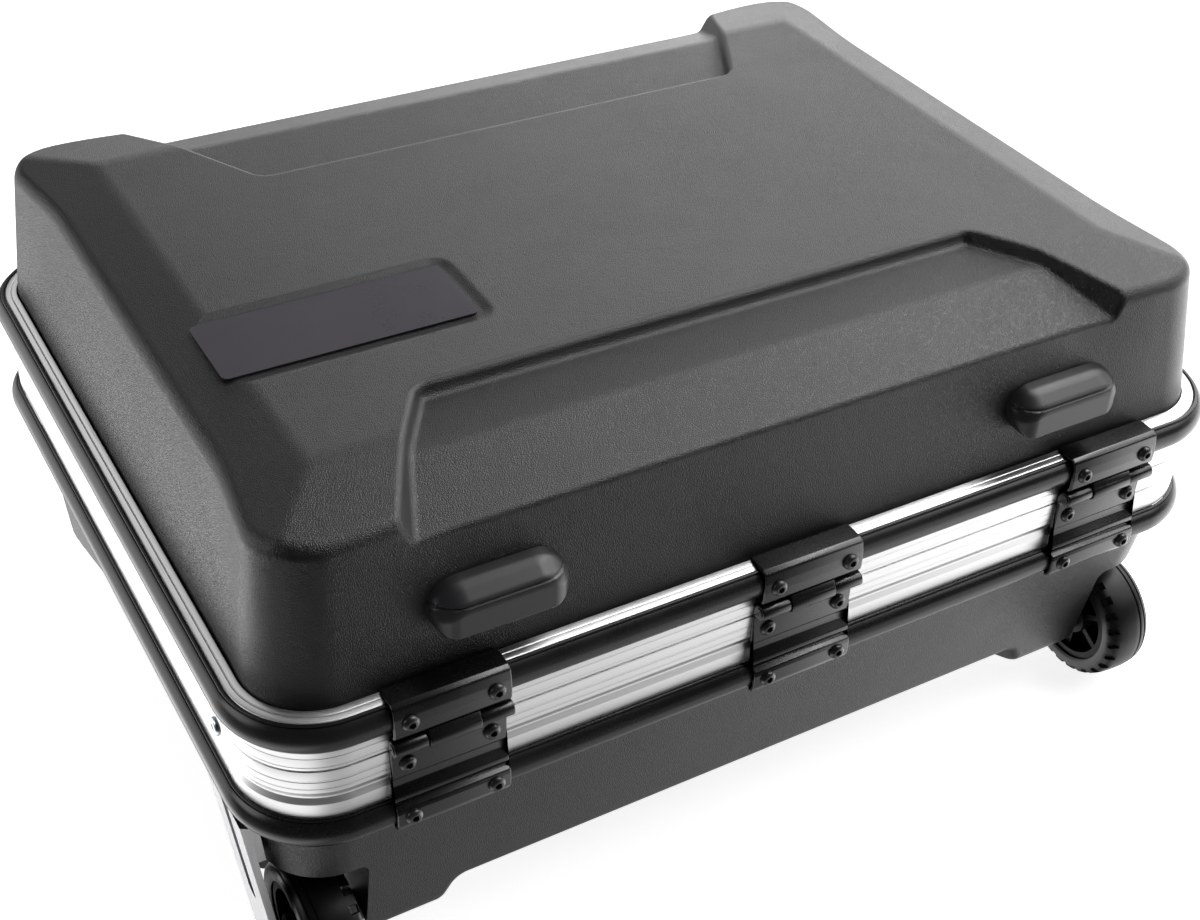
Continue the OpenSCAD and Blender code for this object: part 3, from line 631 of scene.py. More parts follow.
def well_liner(sgn, t, inward):
    """The hollow's own wall: swept arch and inner side, returned whole; the caller cuts it where the tub's skin meets
    it.
    """
    r = 46.0 + t
    xi = 199.5 - t
    res = 3.0
    # arch profile in y, z from the ground up over the roller and down the far side
    ar = 44.0
    cyy, czz = 26.9 + r - ar, 33.3 + r - ar
    pts = [(y, 33.3 + r) for y in np.arange(-8, cyy, res)]
    pts += [(cyy + ar * math.sin(a), czz + ar * math.cos(a)) for a in np.linspace(0, math.pi / 2, 26)]
    pts += [(26.9 + r, z) for z in np.arange(czz - res, 8, -res)]
    pts = np.array(pts)
    xs = np.concatenate([np.arange(250, xi + 5.01, -res), [xi + 5.0]])
    rows = []
    for x in xs:
        rows.append(np.column_stack([np.full(len(pts), x), pts]))
    # rounded change to the inner side, then the side itself as shrinking copies
    c = np.array([0.0, 20.0])
    for a in np.linspace(0, math.pi / 2, 7)[1:]:
        dx = 5.0 * math.sin(a)
        k = 5.0 * (1 - math.cos(a))
        q = pts.copy()
        q[:, 0] = np.where(pts[:, 0] > cyy, np.minimum(pts[:, 0], 26.9 + r - k), pts[:, 0])
        q[:, 1] = np.where(pts[:, 1] > czz, np.minimum(pts[:, 1], 33.3 + r - k), pts[:, 1])
        n = np.zeros_like(pts)
        arc = (pts[:, 0] > cyy) & (pts[:, 1] > czz)
        v = pts - [cyy, czz]
        n = np.where(arc[:, None], v / np.maximum(np.linalg.norm(v, axis=1)[:, None], 1e-9), 0)
        n = np.where((~arc & (pts[:, 1] >= 33.3 + r - 1e-6))[:, None], [0, 1], n)
        n = np.where((~arc & (pts[:, 0] >= 26.9 + r - 1e-6))[:, None], [1, 0], n)
        q = pts - n * k
        rows.append(np.column_stack([np.full(len(pts), xi + 5.0 - dx), q]))
    q0 = rows[-1][:, 1:]
    anchor = np.array([26.9 - 20, 20.0])
    for s in np.linspace(0, 1, 24)[1:]:
        q = q0 * (1 - s) + anchor * s
        rows.append(np.column_stack([np.full(len(pts), xi), q]))
    V = np.concatenate(rows)
    V[:, 0] *= sgn
    idx = np.arange(len(V)).reshape(len(rows), len(pts))
    F = grid_faces(idx)
    N = gradient(lambda x, y, z: well_field(x, y, z, t), V, 0.2)
    if not inward:
        N = -N
    return V, F, N


for sgn, nm in ((-1, "left"), (1, "right")):
    V, F, N = well_liner(sgn, 0.0, True)
    N = -N * -1
    N = -N
    F = orient(V, F, N)
    keep = -base_field(V[:, 0], V[:, 1], V[:, 2])
    Vc, Nc, Fc = clip(V, N, F, keep)
    Vc, Nc, Fc = compact(Vc, Nc, Fc)
    build("well_" + nm, Vc, Fc, "base", M["shell"], normals=Nc, replaces=["base_shell"])
    V, F, N = well_liner(sgn, 3.2, True)
    F = orient(V, F, N)
    keep = -base_field(V[:, 0], V[:, 1], V[:, 2]) - 3.2
    Vc, Nc, Fc = clip(V, N, F, keep)
    Vc, Nc, Fc = compact(Vc, Nc, Fc)
    build("well_lining_" + nm, Vc, Fc, "base", M["shell_in"], normals=Nc, replaces=["base_shell"])

# ------------------------------------------------------------------ swept rings


def path_ring(step=4.0):
    """Points round the frame: centre-line at the face, outward normal, arc length."""
    P, N = [], []
    hw = W - R
    def line(a, b, n):
        L = math.dist(a, b)
        k = max(1, int(round(L / step)))
        for i in range(k):
            s = i / k
            P.append((a[0] + (b[0] - a[0]) * s, a[1] + (b[1] - a[1]) * s))
            N.append(n)
    def arc(c, a0):
        k = 30
        for i in range(k):
            a = a0 + math.pi / 2 * i / k
            P.append((c[0] + R * math.cos(a), c[1] + R * math.sin(a)))
            N.append((math.cos(a), math.sin(a)))
    line((-hw, 0), (hw, 0), (0, -1))
    arc((hw, R), -math.pi / 2)
    line((W, R), (W, D - R), (1, 0))
    arc((hw, D - R), 0)
    line((hw, D), (-hw, D), (0, 1))
    arc((-hw, D - R), math.pi / 2)
    line((-W, D - R), (-W, R), (-1, 0))
    arc((-hw, R), math.pi)
    P, N = np.array(P), np.array(N)
    Q = np.roll(P, -1, 0)
    u = np.concatenate([[0], np.cumsum(np.linalg.norm(Q - P, axis=1))])
    return P, N, u


PP, PN, PU = path_ring()


def sweep(name, prof, body, mat, replaces=(), closed=True, angle=35):
    """Sweeps an (s, z) outline round the frame; s is outward from the face. Outline runs so that outside is to its left."""
    prof = np.array(prof, float)
    k = len(prof)
    n = len(PP)
    uv_v = np.concatenate([[0], np.cumsum(np.linalg.norm(np.diff(prof, axis=0), axis=1))])
    Vs, UV = [], []
    for i in range(n + 1):
        j = i % n
        Vs.append(np.column_stack([PP[j, 0] + PN[j, 0] * prof[:, 0], PP[j, 1] + PN[j, 1] * prof[:, 0], prof[:, 1]]))
        UV.append(np.column_stack([np.full(k, PU[i] * 0.001), uv_v * 0.001]))
    V = np.concatenate(Vs[:-1])
    UV = np.concatenate(UV)
    idx = np.arange(n * k).reshape(n, k)
    F = []
    uvl = []
    jj = np.arange(k) if closed else np.arange(k - 1)
    for i in range(n):
        i2 = (i + 1) % n
        a = idx[i, jj]
        b = idx[i2, jj]
        c = idx[i2, (jj + 1) % k]
        d = idx[i, (jj + 1) % k]
        F.append(np.stack([a, b, c, d], 1))
        ua, ub = PU[i] * 0.001, PU[i + 1] * 0.001
        va = uv_v[jj] * 0.001
        vb = np.where(jj + 1 < k, uv_v[(jj + 1) % k], uv_v[-1] + 2.0) * 0.001
        uvl.append(np.stack([np.stack([np.full(len(jj), ua), va], 1), np.stack([np.full(len(jj), ub), va], 1),
                             np.stack([np.full(len(jj), ub), vb], 1), np.stack([np.full(len(jj), ua), vb], 1)], 1))
    F = np.concatenate(F)
    uvl = np.concatenate(uvl).reshape(-1, 2)
    ob = build(name, V, [F], body, mat, replaces=replaces)
    me = ob.data
    lay = me.uv_layers.new(name="path")
    lay.data.foreach_set("uv", uvl.astype(np.float32).ravel())
    me.update()
    sharpen(ob, angle)
    return ob


def rounded(pts, r, n=4):
    """Closed outline with its corners rounded; r is one radius or one for each corner."""
    out = []
    m = len(pts)
    rs = r if isinstance(r, (list, tuple)) else [r] * m
    for i in range(m):
        p0, p1, p2 = (np.array(pts[(i + j - 1) % m], float) for j in range(3))
        rr = rs[i]
        if rr <= 0:
            out.append(tuple(p1))
            continue
        a, b = p0 - p1, p2 - p1
        la, lb = np.linalg.norm(a), np.linalg.norm(b)
        a, b = a / la, b / lb
        ang = math.acos(max(-1, min(1, a @ b)))
        if abs(math.pi - ang) < 0.05:
            out.append(tuple(p1))
            continue
        t = min(rr / math.tan(ang / 2), la * 0.45, lb * 0.45)
        q0, q2 = p1 + a * t, p1 + b * t
        for j in range(n + 1):
            s = j / n
            out.append(tuple((1 - s) ** 2 * q0 + 2 * s * (1 - s) * p1 + s * s * q2))
    return out


# lid frame: ledge flange, face with drawn lines and a foot above the seam
lid_prof = rounded([(-6.35, 178.7), (-3.75, 178.2), (-3.4, 177.95), (-3.05, 178.1), (-0.95, 177.6), (0.0, 176.9), (0.0, 159.5), (-0.08, 159.3), (-0.08, 159.0), (0.0, 158.8),
                    (0.0, 154.8), (-0.06, 154.6), (-0.06, 154.3), (0.0, 154.1), (0.0, 152.45),
                    (-12.0, 152.45), (-12.0, 155.0), (-2.4, 155.0), (-2.4, 175.6), (-6.35, 175.6)],
                   [0.4, 0.2, 0.2, 0.2, 0.9, 0.6, 0.1, 0.1, 0.1, 0.1, 0.1, 0.1, 0.1, 0.1, 0.5, 0.3, 0.3, 0.5, 0.5, 0.4], 3)
sweep("lid_rail", lid_prof, "lid", M["alu"], ["lid_frame"])
base_prof = rounded([(0.0, 152.15), (0.0, 147.0), (-0.09, 146.7), (-0.09, 146.2), (0.0, 145.9), (0.0, 142.9), (-0.06, 142.7), (-0.06, 142.4), (0.0, 142.2),
                     (0.0, 140.2), (-0.85, 137.6), (-0.85, 136.8), (0.0, 133.6), (0.0, 126.0), (-2.4, 126.0), (-2.4, 149.5), (-12, 149.5), (-12, 152.15)],
                    [0.5, 0.1, 0.1, 0.1, 0.1, 0.1, 0.1, 0.1, 0.1, 1.6, 0.8, 0.8, 1.8, 0.4, 0.3, 0.4, 0.3, 0.3], 4)
sweep("base_rail", base_prof, "base", M["alu"], ["base_frame"])


def trim_prof(zt):
    """Bulging rubber trim, 15 mm high, with a thin lip along each edge."""
    h = 15.0
    rr = (h * h / 4 + 25.0) / 10.0
    a1 = math.asin((h / 2 - 1.0) / rr)
    mid = []
    for i in range(27):
        a = a1 - 2 * a1 * i / 26
        mid.append((5.0 - rr + rr * math.cos(a), zt - h / 2 + rr * math.sin(a)))
    lip = [(0.02, -0.1), (0.7, -0.02), (1.1, -0.12), (1.3, -0.42), (1.25, -0.8), (1.1, -1.15), (1.25, -1.35), (1.5, -1.35)]
    up = [(a, zt + b) for a, b in lip]
    lo = [(a, zt - h - b) for a, b in reversed(lip)]
    return up + [q for q in mid if q[0] > 1.62] + lo


sweep("lid_bead", trim_prof(178.0), "lid", M["trim"], ["lid_trim"], angle=50)
sweep("base_bead", trim_prof(126.0), "base", M["trim"], ["base_trim"], angle=50)

# ------------------------------------------------------------------ hinges


def ring_normals(p):
    """Outward normals of a closed outline that runs anticlockwise."""
    a = p - np.roll(p, 1, 0)
    b = np.roll(p, -1, 0) - p
    a = a / np.maximum(np.linalg.norm(a, axis=1)[:, None], 1e-9)
    b = b / np.maximum(np.linalg.norm(b, axis=1)[:, None], 1e-9)
    n = np.stack([a[:, 1] + b[:, 1], -a[:, 0] - b[:, 0]], 1)
    n /= np.maximum(np.linalg.norm(n, axis=1)[:, None], 1e-9)
    return n


def extrude_x(prof, x0, x1, c=0.35):
    """Closed (y, z) outline pushed along x with rounded ends. Returns vertices and faces."""
    p = np.array(prof, float)
    q = np.roll(p, -1, 0)
    if (p[:, 0] * q[:, 1] - q[:, 0] * p[:, 1]).sum() < 0:
        p = p[::-1]
    n = ring_normals(p)
    k = len(p)
    rows = []
    for a in (90, 60, 30, 0):
        r = math.radians(a)
        rows.append((x0 + c * (1 - math.sin(r)) if a else x0 + c, c * (1 - math.cos(r)) if a < 90 else c))
    rows = [(x0 + c * (1 - math.sin(math.radians(a))), c * (1 - math.cos(math.radians(a)))) for a in (90, 60, 30, 0)]
    rows += [(x0 + x1 - x, i) for x, i in reversed(rows)]
    V = np.concatenate([np.column_stack([np.full(k, x), p - n * i]) for x, i in rows])
    idx = np.arange(len(V)).reshape(len(rows), k)
    a, b = idx[:-1], idx[1:]
    F = np.stack([a.ravel(), np.roll(a, -1, 1).ravel(), np.roll(b, -1, 1).ravel(), b.ravel()], 1)
    return V, [F, idx[-1][None, :], idx[0][None, ::-1]]


def join(parts):
    """Several (V, faces) in one mesh."""
    V, F, k = [], [], 0
    for v, fs in parts:
        V.append(v)
        F += [f + k for f in fs]
        k += len(v)
    by = {}
    for f in F:
        by.setdefault(f.shape[1], []).append(f)
    return np.concatenate(V), [np.concatenate(f) for f in by.values()]


def arc_pts(cy, cz, r, a0, a1, n):
    return [(cy + r * math.cos(math.radians(a0 + (a1 - a0) * i / n)), cz + r * math.sin(math.radians(a0 + (a1 - a0) * i / n))) for i in range(n + 1)]


def lift(prof):
    return [(a, LZ + b) for a, b in prof]


# strap over the lid's ledge and trim, folded from 1.9 mm sheet
STRAP = rounded(lift([(6.2, 0.06), (6.2, 1.9), (-3.4, 1.85), (-5.7, 0.6), (-6.75, -4.0), (-7.2, -8.6), (-7.0, -13.4), (-5.9, -15.2), (-4.0, -15.2), (-5.15, -12.6), (-5.15, -2.8), (-4.4, -0.8), (-2.6, 0.06)]),
                [0.3, 0.6, 1.6, 2.2, 9.0, 9.0, 1.4, 0.5, 0.4, 1.2, 2.5, 2.5, 1.5], 5)
KNUCKLE = arc_pts(-5.2, LZ - 20, 4.2, 118, 402, 44)
KNUCKLE = rounded([(-6.9, LZ - 14.6), (-3.9, LZ - 14.6)], 0, 1) + [(-2.6, LZ - 16.3)] + arc_pts(-5.2, LZ - 20, 4.2, 40, -230, 40)
PLATE = rounded(lift([(-0.5, -25.0), (-2.6, -25.0), (-2.6, -39.6), (-1.4, -41.2), (-1.4, -45.4), (-4.5, -48.6), (-4.9, -50.6), (-3.6, -52.2), (-3.6, -53.2), (-6.4, -54.2), (-7.0, -56.2), (-7.0, -62.6),
                      (-5.9, -65.6), (-3.6, -66.8), (-2.6, -66.2), (-4.6, -64.0), (-5.15, -62.0), (-5.15, -56.9), (-4.2, -54.6), (-1.0, -53.0), (-0.03, -51.0), (-0.03, -27.0)]),
                [0.3, 0.5, 0.5, 1.2, 1.2, 1.4, 1.6, 0.8, 0.7, 1.2, 1.6, 2.2, 2.0, 0.6, 0.4, 1.5, 1.6, 1.6, 1.6, 1.0, 0.6, 0.6], 4)
TAB = rounded(lift([(-0.5, -25.6), (-0.5, -21.2), (-2.2, -18.6), (-3.4, -21.4), (-2.62, -23.2), (-2.62, -25.6)]), [0, 0.8, 0.4, 0.4, 0.6, 0], 3)
for nm, hx in (("left", -168.0), ("middle", 0.0), ("right", 168.0)):
    V, F = join([extrude_x(STRAP, hx - 25, hx + 25, 0.6), extrude_x(KNUCKLE, hx - 11, hx + 11, 0.3)])
    o = build("hinge_strap_" + nm, V, F, "lid", M["hinge"], replaces=["hinge_lid_" + nm])
    sharpen(o, 34)
    V, F = join([extrude_x(PLATE, hx - 25, hx + 25, 0.5)]
                + [extrude_x(TAB, hx + a, hx + b, 0.2) for a, b in ((-24.8, -11.5), (11.5, 24.8))]
                + [extrude_x(arc_pts(-5.2, LZ - 20, 3.55, 0, 352, 44), hx + a, hx + b, 0.45) for a, b in ((-25.6, -11.5), (11.5, 25.6))])
    o = build("hinge_plate_" + nm, V, F, "base", M["hinge"], replaces=["hinge_base_" + nm])
    sharpen(o, 34)


def heads(spots, sign, rim=3.7, tall=2.1):
    """Domed button heads with a hexagon socket; sign -1 looks along -y."""
    m = 48
    th = np.linspace(0, 2 * math.pi, m, endpoint=False)
    hexr = 1.42 / np.cos((th + math.pi / 6) % (math.pi / 3) - math.pi / 6)
    one = np.ones(m)
    ring = [(rim * one, -0.3), (rim * one, 0.35), (rim * 0.99 * one, 0.7), (rim * 0.94 * one, 1.1), (rim * 0.85 * one, 1.5), (rim * 0.72 * one, 1.85), (rim * 0.6 * one, tall),
            (hexr * 1.12, tall), (hexr, tall - 0.18), (hexr, tall - 1.5), (hexr * 0.5, tall - 1.75), (hexr * 0.02, tall - 1.85)]
    parts = []
    for x, y, z in spots:
        V = np.concatenate([np.column_stack([x + r * np.cos(th), np.full(m, y + sign * h), z + r * np.sin(th)]) for r, h in ring])
        idx = np.arange(len(V)).reshape(len(ring), m)
        a, b = idx[:-1], idx[1:]
        F = np.stack([a.ravel(), b.ravel(), np.roll(b, -1, 1).ravel(), np.roll(a, -1, 1).ravel()], 1)
        if sign < 0:
            F = F[:, ::-1]
        parts.append((V, [F]))
    return join(parts)


base_spots = [(hx + q * 18.3, y, LZ + z) for hx in (-168, 0, 168) for q in (-1, 1) for y, z in ((-2.6, -33), (-7.0, -59))]
lid_spots = [(hx + q * 18.3, -7.0, LZ - 7.2) for hx in (-168, 0, 168) for q in (-1, 1)]
V, F = heads(base_spots, -1)
o = build("hinge_buttons_base", V, F, "base", M["screw"], replaces=["hinge_screws_base"])
sharpen(o, 30)
V, F = heads(lid_spots, -1)
o = build("hinge_buttons_lid", V, F, "lid", M["screw"], replaces=["hinge_screws_lid"])
sharpen(o, 30)

V, F = heads([(50.0, -W, 145.0)], -1, 4.1, 1.9)
V = V[:, [1, 0, 2]]
F = [f[:, ::-1] for f in F]
o = build("frame_screw_head", V, F, "base", M["zinc"], replaces=["frame_screw"])
sharpen(o, 30)

# ------------------------------------------------------------------ bumpers


def bumper_field(x, zz, ny):
    """Below zero inside. x from the bumper's middle, zz over the ledge, ny = -y."""
    y = -ny
    ax = np.abs(x)
    cap = step01(32.6, 33.1, zz)
    ob = rmax(ax - 30.1, np.abs(zz - 29.2) - 10.8, 10.6)
    plan = rmax(ax - 30.1 + 0.6 * (1 - cap), -0.5 - y + 0.6 * (1 - cap), 9.5 + 2.5 * cap)
    f = rmax(ob, plan, 1.0 + 1.6 * cap)
    hx = np.maximum(ax - 15.0, 0)
    drop = 0.030 * hx * hx
    lowtop = (zz - (32.9 + 0.60 * (y + 0.5) - drop)) * 0.857
    hightop = (zz - (39.0 + 0.20 * (y - 9.6) - drop)) * 0.97
    top = smax(lowtop, hightop, 0.35)
    f = rmax(f, top, 3.2)
    g = np.clip(1 - np.abs(zz - 32.6) / 0.7, 0, 1)
    return f + 0.85 * g * g * (3 - 2 * g)


for nm, bx in (("left", -141.0), ("right", 141.0)):
    V, F, rim = skin(bumper_field, 0.4, 22.0, 24.0, 34.5, 4.0, -6.0, -17.0, 1)
    N = gradient(bumper_field, V, 0.04)
    F = orient(V, F, N)
    Vw = np.column_stack([V[:, 0] + bx, -V[:, 2], V[:, 1] + LZ])
    Nw = np.column_stack([N[:, 0], -N[:, 2], N[:, 1]])
    Vc, Nc, Fc = clip(Vw, Nw, F, lid_field(Vw[:, 0], Vw[:, 1], Vw[:, 2] - LZ) + 1.6)
    Vc, Nc, Fc = compact(Vc, Nc, Fc)
    build("bumper_pad_" + nm, Vc, Fc, "lid", M["bumper"], normals=Nc, replaces=["bumper_" + nm])

# ------------------------------------------------------------------ tyres


def tyre(sgn):
    """Tread with rings near the outer edge and notches along the inner one."""
    prof = [(-1.0, 23.62), (-1.5, 24.6), (-1.6, 26.4), (-1.6, 28.2), (-1.3, 29.6), (-0.7, 30.7), (0.2, 31.5), (1.2, 32.0), (2.2, 32.3), (2.9, 32.45), (3.4, 32.55), (5.0, 32.8), (8.0, 33.1), (11.0, 33.25),
            (14.0, 33.28), (15.9, 33.15), (16.3, 33.1), (16.6, 32.5), (17.2, 32.4), (17.5, 33.0), (18.2, 32.95), (19.3, 32.7), (19.6, 32.6), (19.85, 32.0), (20.4, 31.85), (20.7, 32.4),
            (21.6, 31.95), (22.0, 31.6), (22.2, 31.0), (22.6, 30.75), (22.9, 31.0), (23.3, 30.3), (23.6, 29.0), (23.6, 27.0), (23.3, 25.2), (22.7, 23.62)]
    pts = []
    for i in range(len(prof) - 1):
        a, b = np.array(prof[i]), np.array(prof[i + 1])
        pts.append(a)
        if np.linalg.norm(b - a) > 1.4:
            for q in range(1, int(np.linalg.norm(b - a) / 0.9)):
                pts.append(a + (b - a) * q / int(np.linalg.norm(b - a) / 0.9))
    pts.append(np.array(prof[-1]))
    pts = np.array(pts)
    m = 24 * 16
    th = np.linspace(0, 2 * math.pi, m, endpoint=False)
    ph = (th / (2 * math.pi) * 24) % 1.0
    notch = np.clip((0.24 - np.abs(ph - 0.5)) / 0.05, 0, 1)
    V = []
    for w, r in pts:
        k = np.clip((w + 1.5) / 0.6, 0, 1) * np.clip((3.2 - w) / 0.5, 0, 1) * np.clip((r - 28.6) / 1.0, 0, 1)
        rr = r - 2.0 * notch * k
        V.append(np.column_stack([np.full(m, sgn * (207.3 + w)), 26.9 + rr * np.cos(th), 33.3 + rr * np.sin(th)]))
    V = np.concatenate(V)
    idx = np.arange(len(V)).reshape(len(pts), m)
    a, b = idx, np.roll(idx, -1, 0)
    F = np.stack([a.ravel(), np.roll(a, -1, 1).ravel(), np.roll(b, -1, 1).ravel(), b.ravel()], 1)
    if sgn < 0:
        F = F[:, ::-1]
    return V, F


for sgn, nm in ((-1, "left"), (1, "right")):
    V, F = tyre(sgn)
    o = build("tyre_tread_" + nm, V, [F], "wheel_" + nm, M["tyre"], replaces=["wheel_tyre_" + nm])
    sharpen(o, 40)

# ------------------------------------------------------------------ CAD nodes that are shown as they are


def dress(names, mat, width=0.35, segments=2, angle=38):
    for n in names:
        o = NODES[n]
        o.data.materials.clear()
        o.data.materials.append(mat)
        if "custom_normal" in o.data.attributes:
            o.data.attributes.remove(o.data.attributes["custom_normal"])
        for a in ("sharp_edge", "sharp_face"):
            if a in o.data.attributes:
                o.data.attributes.remove(o.data.attributes[a])
        w = o.modifiers.new("weld", "WELD")
        w.merge_threshold = 0.00001
        if width:
            b = o.modifiers.new("edge", "BEVEL")
            b.width = width * 0.001
            b.segments = segments
            b.limit_method = "ANGLE"
            b.angle_limit = math.radians(angle)
            b.harden_normals = False
            b.use_clamp_overlap = True
            b.miter_outer = "MITER_ARC"
        wn = o.modifiers.new("shade", "WEIGHTED_NORMAL")
        wn.keep_sharp = True
        wn.weight = 80


dress(["rear_screws"], M["screw"], 0.2)
dress(["hinge_pins"], M["pin_black"], 0.4)
dress(["handle_pins", "wheel_axles", "bar_screws", "base_rivets", "lid_rivets"], M["steel"], 0.3)
dress(["axle_caps", "lock_cylinder_left", "lock_cylinder_right"], M["chrome"], 0.3)
dress(["rear_feet", "handle_grip"], M["foot"], 0.8)
dress(["pull_tube_collars", "pull_tube_end_caps", "latch_body_left", "latch_body_right", "handle_bracket_left", "handle_bracket_right",
       "catch_left", "catch_right", "carry_handle", "pull_grip", "latch_lever_left", "latch_lever_right"], M["fitting"], 0.5)
dress(["sorting_tray"], M["tray"], 0.8)
dress(["tool_board", "board_pockets_front", "board_pockets_rear"], M["board"], 0.5)
dress(["label_plate"], M["plate"], 0.25)
dress(["wheel_hub_left", "wheel_hub_right"], M["hub"], 0.3)
dress(["release_button"], M["button"], 0.5)
dress([n for n in NODES if n.startswith("pull_tube_outer") or n.startswith("pull_tube_middle") or n.startswith("pull_tube_inner")], M["tube"], 0.0)
dress(["slotted_bar"], M["bar"], 0.6)
dress(["lid_seal"], M["seal"], 0.0)

# ------------------------------------------------------------------ stage, light, camera


def floor_material():
    m, t, p = make_material("floor_pale")
    v = coords(t)
    n = noise(t, v, 3.0, 3, 0.5)
    t.links.new(mix_col(t, n, (0.86, 0.86, 0.86), (0.88, 0.88, 0.88)), p.inputs["Base Color"])
    t.links.new(map_range(t, noise(t, v, 40.0, 3, 0.5), 0.3, 0.7, 0.75, 0.85), p.inputs["Roughness"])
    p.inputs["Specular IOR Level"].default_value = 0.2
    p.inputs["Emission Color"].default_value = (1, 1, 1, 1)
    p.inputs["Emission Strength"].default_value = 0.85      # a lit table
    return m


bpy.ops.mesh.primitive_plane_add(size=14, location=(0, 2.0, -0.0002))
floor = bpy.context.object
floor.name = "floor"
floor.data.materials.append(floor_material())

world = bpy.data.worlds.new("studio")
bpy.context.scene.world = world
world.use_nodes = True
wt = world.node_tree
for n in list(wt.nodes):
    wt.nodes.remove(n)
wo = wt.nodes.new("ShaderNodeOutputWorld")
bg = wt.nodes.new("ShaderNodeBackground")
wt.links.new(bg.outputs[0], wo.inputs[0])
tc = wt.nodes.new("ShaderNodeTexCoord")
sx = wt.nodes.new("ShaderNodeSeparateXYZ")
wt.links.new(tc.outputs["Generated"], sx.inputs[0])
DX, DY, DZ = sx.outputs["X"], sx.outputs["Y"], sx.outputs["Z"]


def smooth_range(t, fac, a, b, lo, hi):
    n = t.nodes.new("ShaderNodeMapRange")
    n.interpolation_type = "SMOOTHSTEP"
    for i, v in ((1, a), (2, b), (3, lo), (4, hi)):
        n.inputs[i].default_value = v
    t.links.new(fac, n.inputs[0])
    return n.outputs[0]


# above the horizon: bright behind and to the right, dark in front; below it: bright floor, dimmer far in front
sky = map_range(wt, DX, -0.05, 0.80, 0.02, 1.62)
sky = math_node(wt, "MULTIPLY", sky, smooth_range(wt, DZ, 0.40, 0.72, 1.0, 0.34))
sky = math_node(wt, "MULTIPLY", sky, smooth_range(wt, DY, -0.50, 0.0, 0.04, 1.0))
rear = math_node(wt, "MULTIPLY", smooth_range(wt, DY, 0.66, 0.80, 0.0, 1.0), smooth_range(wt, DZ, 0.04, 0.20, 3.0, 0.0))
sky = math_node(wt, "MULTIPLY", sky, math_node(wt, "ADD", rear, 1.0))
low_left = math_node(wt, "MULTIPLY", smooth_range(wt, DX, -0.52, -0.34, 1.7, 0.0), smooth_range(wt, DZ, 0.14, 0.42, 1.0, 0.0))
sky = math_node(wt, "ADD", sky, math_node(wt, "MULTIPLY", low_left, smooth_range(wt, DY, 0.40, 0.66, 0.0, 1.0)))
ledge_sky = math_node(wt, "MULTIPLY", smooth_range(wt, DX, -0.28, -0.15, 0.0, 1.10), smooth_range(wt, DX, -0.03, 0.10, 1.0, 0.0))
ledge_sky = math_node(wt, "MULTIPLY", ledge_sky, smooth_range(wt, DZ, 0.32, 0.46, 0.0, 1.0))
sky = math_node(wt, "ADD", sky, math_node(wt, "MULTIPLY", ledge_sky, smooth_range(wt, DY, 0.40, 0.56, 0.0, 1.0)))
low = math_node(wt, "POWER", map_range(wt, DX, 0.15, 0.75, 0.0, 1.0), 1.95)
low = math_node(wt, "ADD", math_node(wt, "MULTIPLY", low, 2.4), smooth_range(wt, DX, -0.6, 0.0, 0.15, 0.50))
low = math_node(wt, "MULTIPLY", low, smooth_range(wt, DZ, -0.82, -0.60, 0.68, 1.0))
left = smooth_range(wt, DX, -0.38, -0.18, 1.0, 0.0)
lift_l = map_range(wt, DZ, -0.62, -0.35, 3.7, 1.4)
side = smooth_range(wt, DY, 0.22, 0.70, 0.0, 1.0)
side = math_node(wt, "ADD", side, math_node(wt, "MULTIPLY", math_node(wt, "SUBTRACT", 1.0, side), map_range(wt, DZ, -0.75, -0.48, 0.36, 0.05)))
lift_l = math_node(wt, "MULTIPLY", lift_l, side)
low = math_node(wt, "ADD", low, math_node(wt, "MULTIPLY", left, lift_l))
front = smooth_range(wt, DY, -0.35, 0.0, 1.0, 0.0)
far = smooth_range(wt, DZ, -0.62, -0.36, 0.0, 1.0)
dim = map_range(wt, DX, 0.35, 0.72, 0.06, 1.0)
shade = math_node(wt, "MULTIPLY", math_node(wt, "MULTIPLY", front, far), math_node(wt, "SUBTRACT", 1.0, dim))
low = math_node(wt, "MULTIPLY", low, math_node(wt, "SUBTRACT", 1.0, shade))
below = smooth_range(wt, DZ, -0.12, 0.06, 1.0, 0.0)
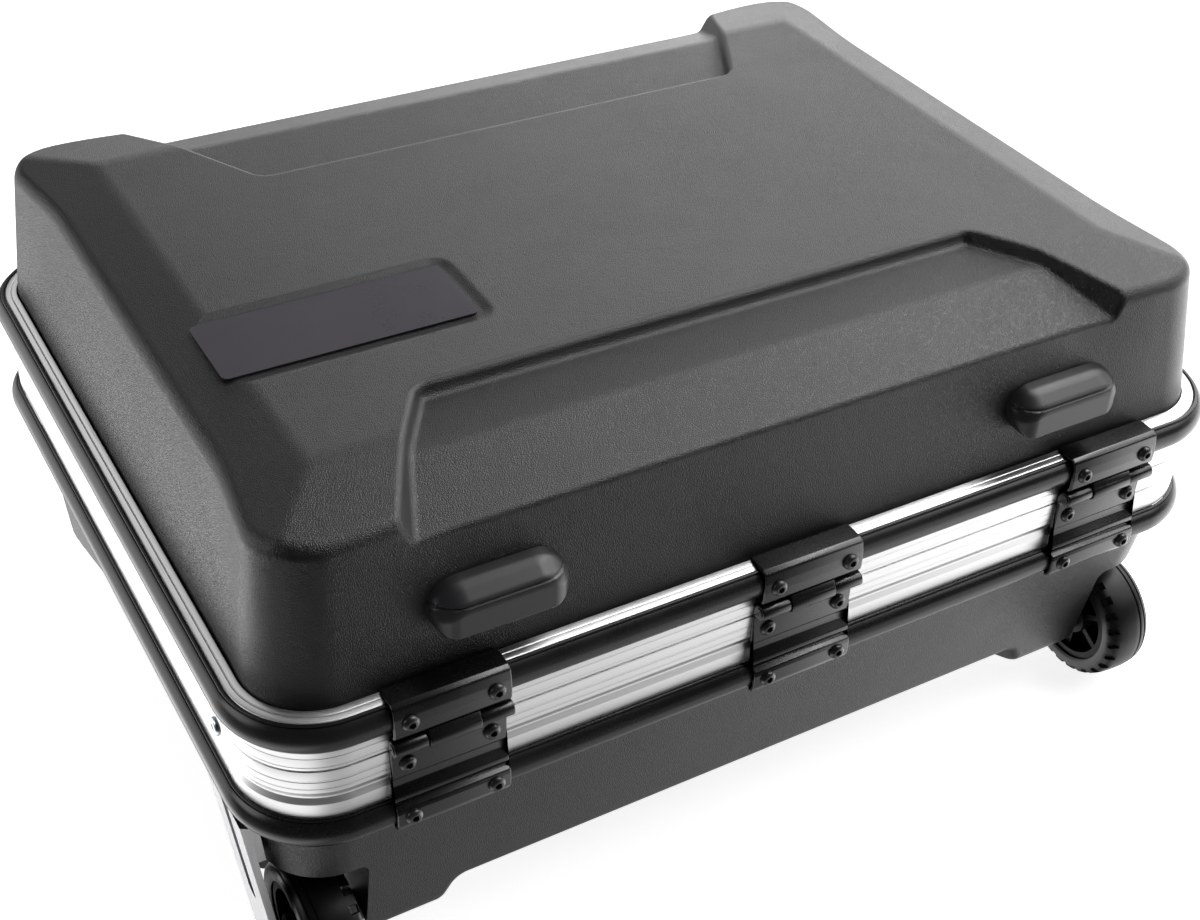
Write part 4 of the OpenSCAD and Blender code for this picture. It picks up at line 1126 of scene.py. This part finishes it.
st = math_node(wt, "ADD", math_node(wt, "MULTIPLY", low, below), math_node(wt, "MULTIPLY", sky, math_node(wt, "SUBTRACT", 1.0, below)))
bg.inputs[0].default_value = (1, 1, 1, 1)
wt.links.new(st, bg.inputs[1])
floor.visible_glossy = False


def area(name, loc, target, size, power, size_y=None):
    l = bpy.data.lights.new(name, "AREA")
    l.energy = power
    l.size = size
    if size_y:
        l.shape = "RECTANGLE"
        l.size_y = size_y
    o = bpy.data.objects.new(name, l)
    bpy.context.scene.collection.objects.link(o)
    o.location = loc
    o.rotation_euler = (Vector(target) - Vector(loc)).to_track_quat("-Z", "Y").to_euler()
    return o


area("softbox_top", (1.45, 0.25, 1.95), (0.1, 0.1, 0.1), 1.9, 41, 1.8)
area("strip_front", (1.1, -0.50, 1.95), (0.0, 0.0, 0.2), 1.7, 9, 0.20)
area("softbox_left", (-2.0, 0.4, 1.1), (0, 0, 0.15), 1.2, 10, 1.0)
area("softbox_right", (1.6, -1.2, 1.5), (0.1, 0, 0.15), 0.8, 6, 0.8)

C = (-0.37656, -0.64304, 0.66102)
yaw, pitch, roll = math.radians(31.36), math.radians(37.29), math.radians(2.76)
sy, cy, sp, cp = math.sin(yaw), math.cos(yaw), math.sin(pitch), math.cos(pitch)
fwd = Vector((sy * cp, cy * cp, -sp))
right = Vector((cy, -sy, 0))
upv = right.cross(fwd)
r2 = math.cos(roll) * right + math.sin(roll) * upv
u2 = -math.sin(roll) * right + math.cos(roll) * upv
cam = bpy.data.cameras.new("camera")
cam.sensor_width = 36
cam.sensor_fit = "HORIZONTAL"
cam.lens = 1790.44 / 1200 * 36
cam.clip_start = 0.01
cam.clip_end = 60
co = bpy.data.objects.new("camera", cam)
bpy.context.scene.collection.objects.link(co)
co.matrix_world = Matrix((
    (r2.x, u2.x, -fwd.x, C[0]),
    (r2.y, u2.y, -fwd.y, C[1]),
    (r2.z, u2.z, -fwd.z, C[2]),
    (0, 0, 0, 1)))
bpy.context.scene.camera = co
bpy.context.scene.view_settings.view_transform = "Standard"
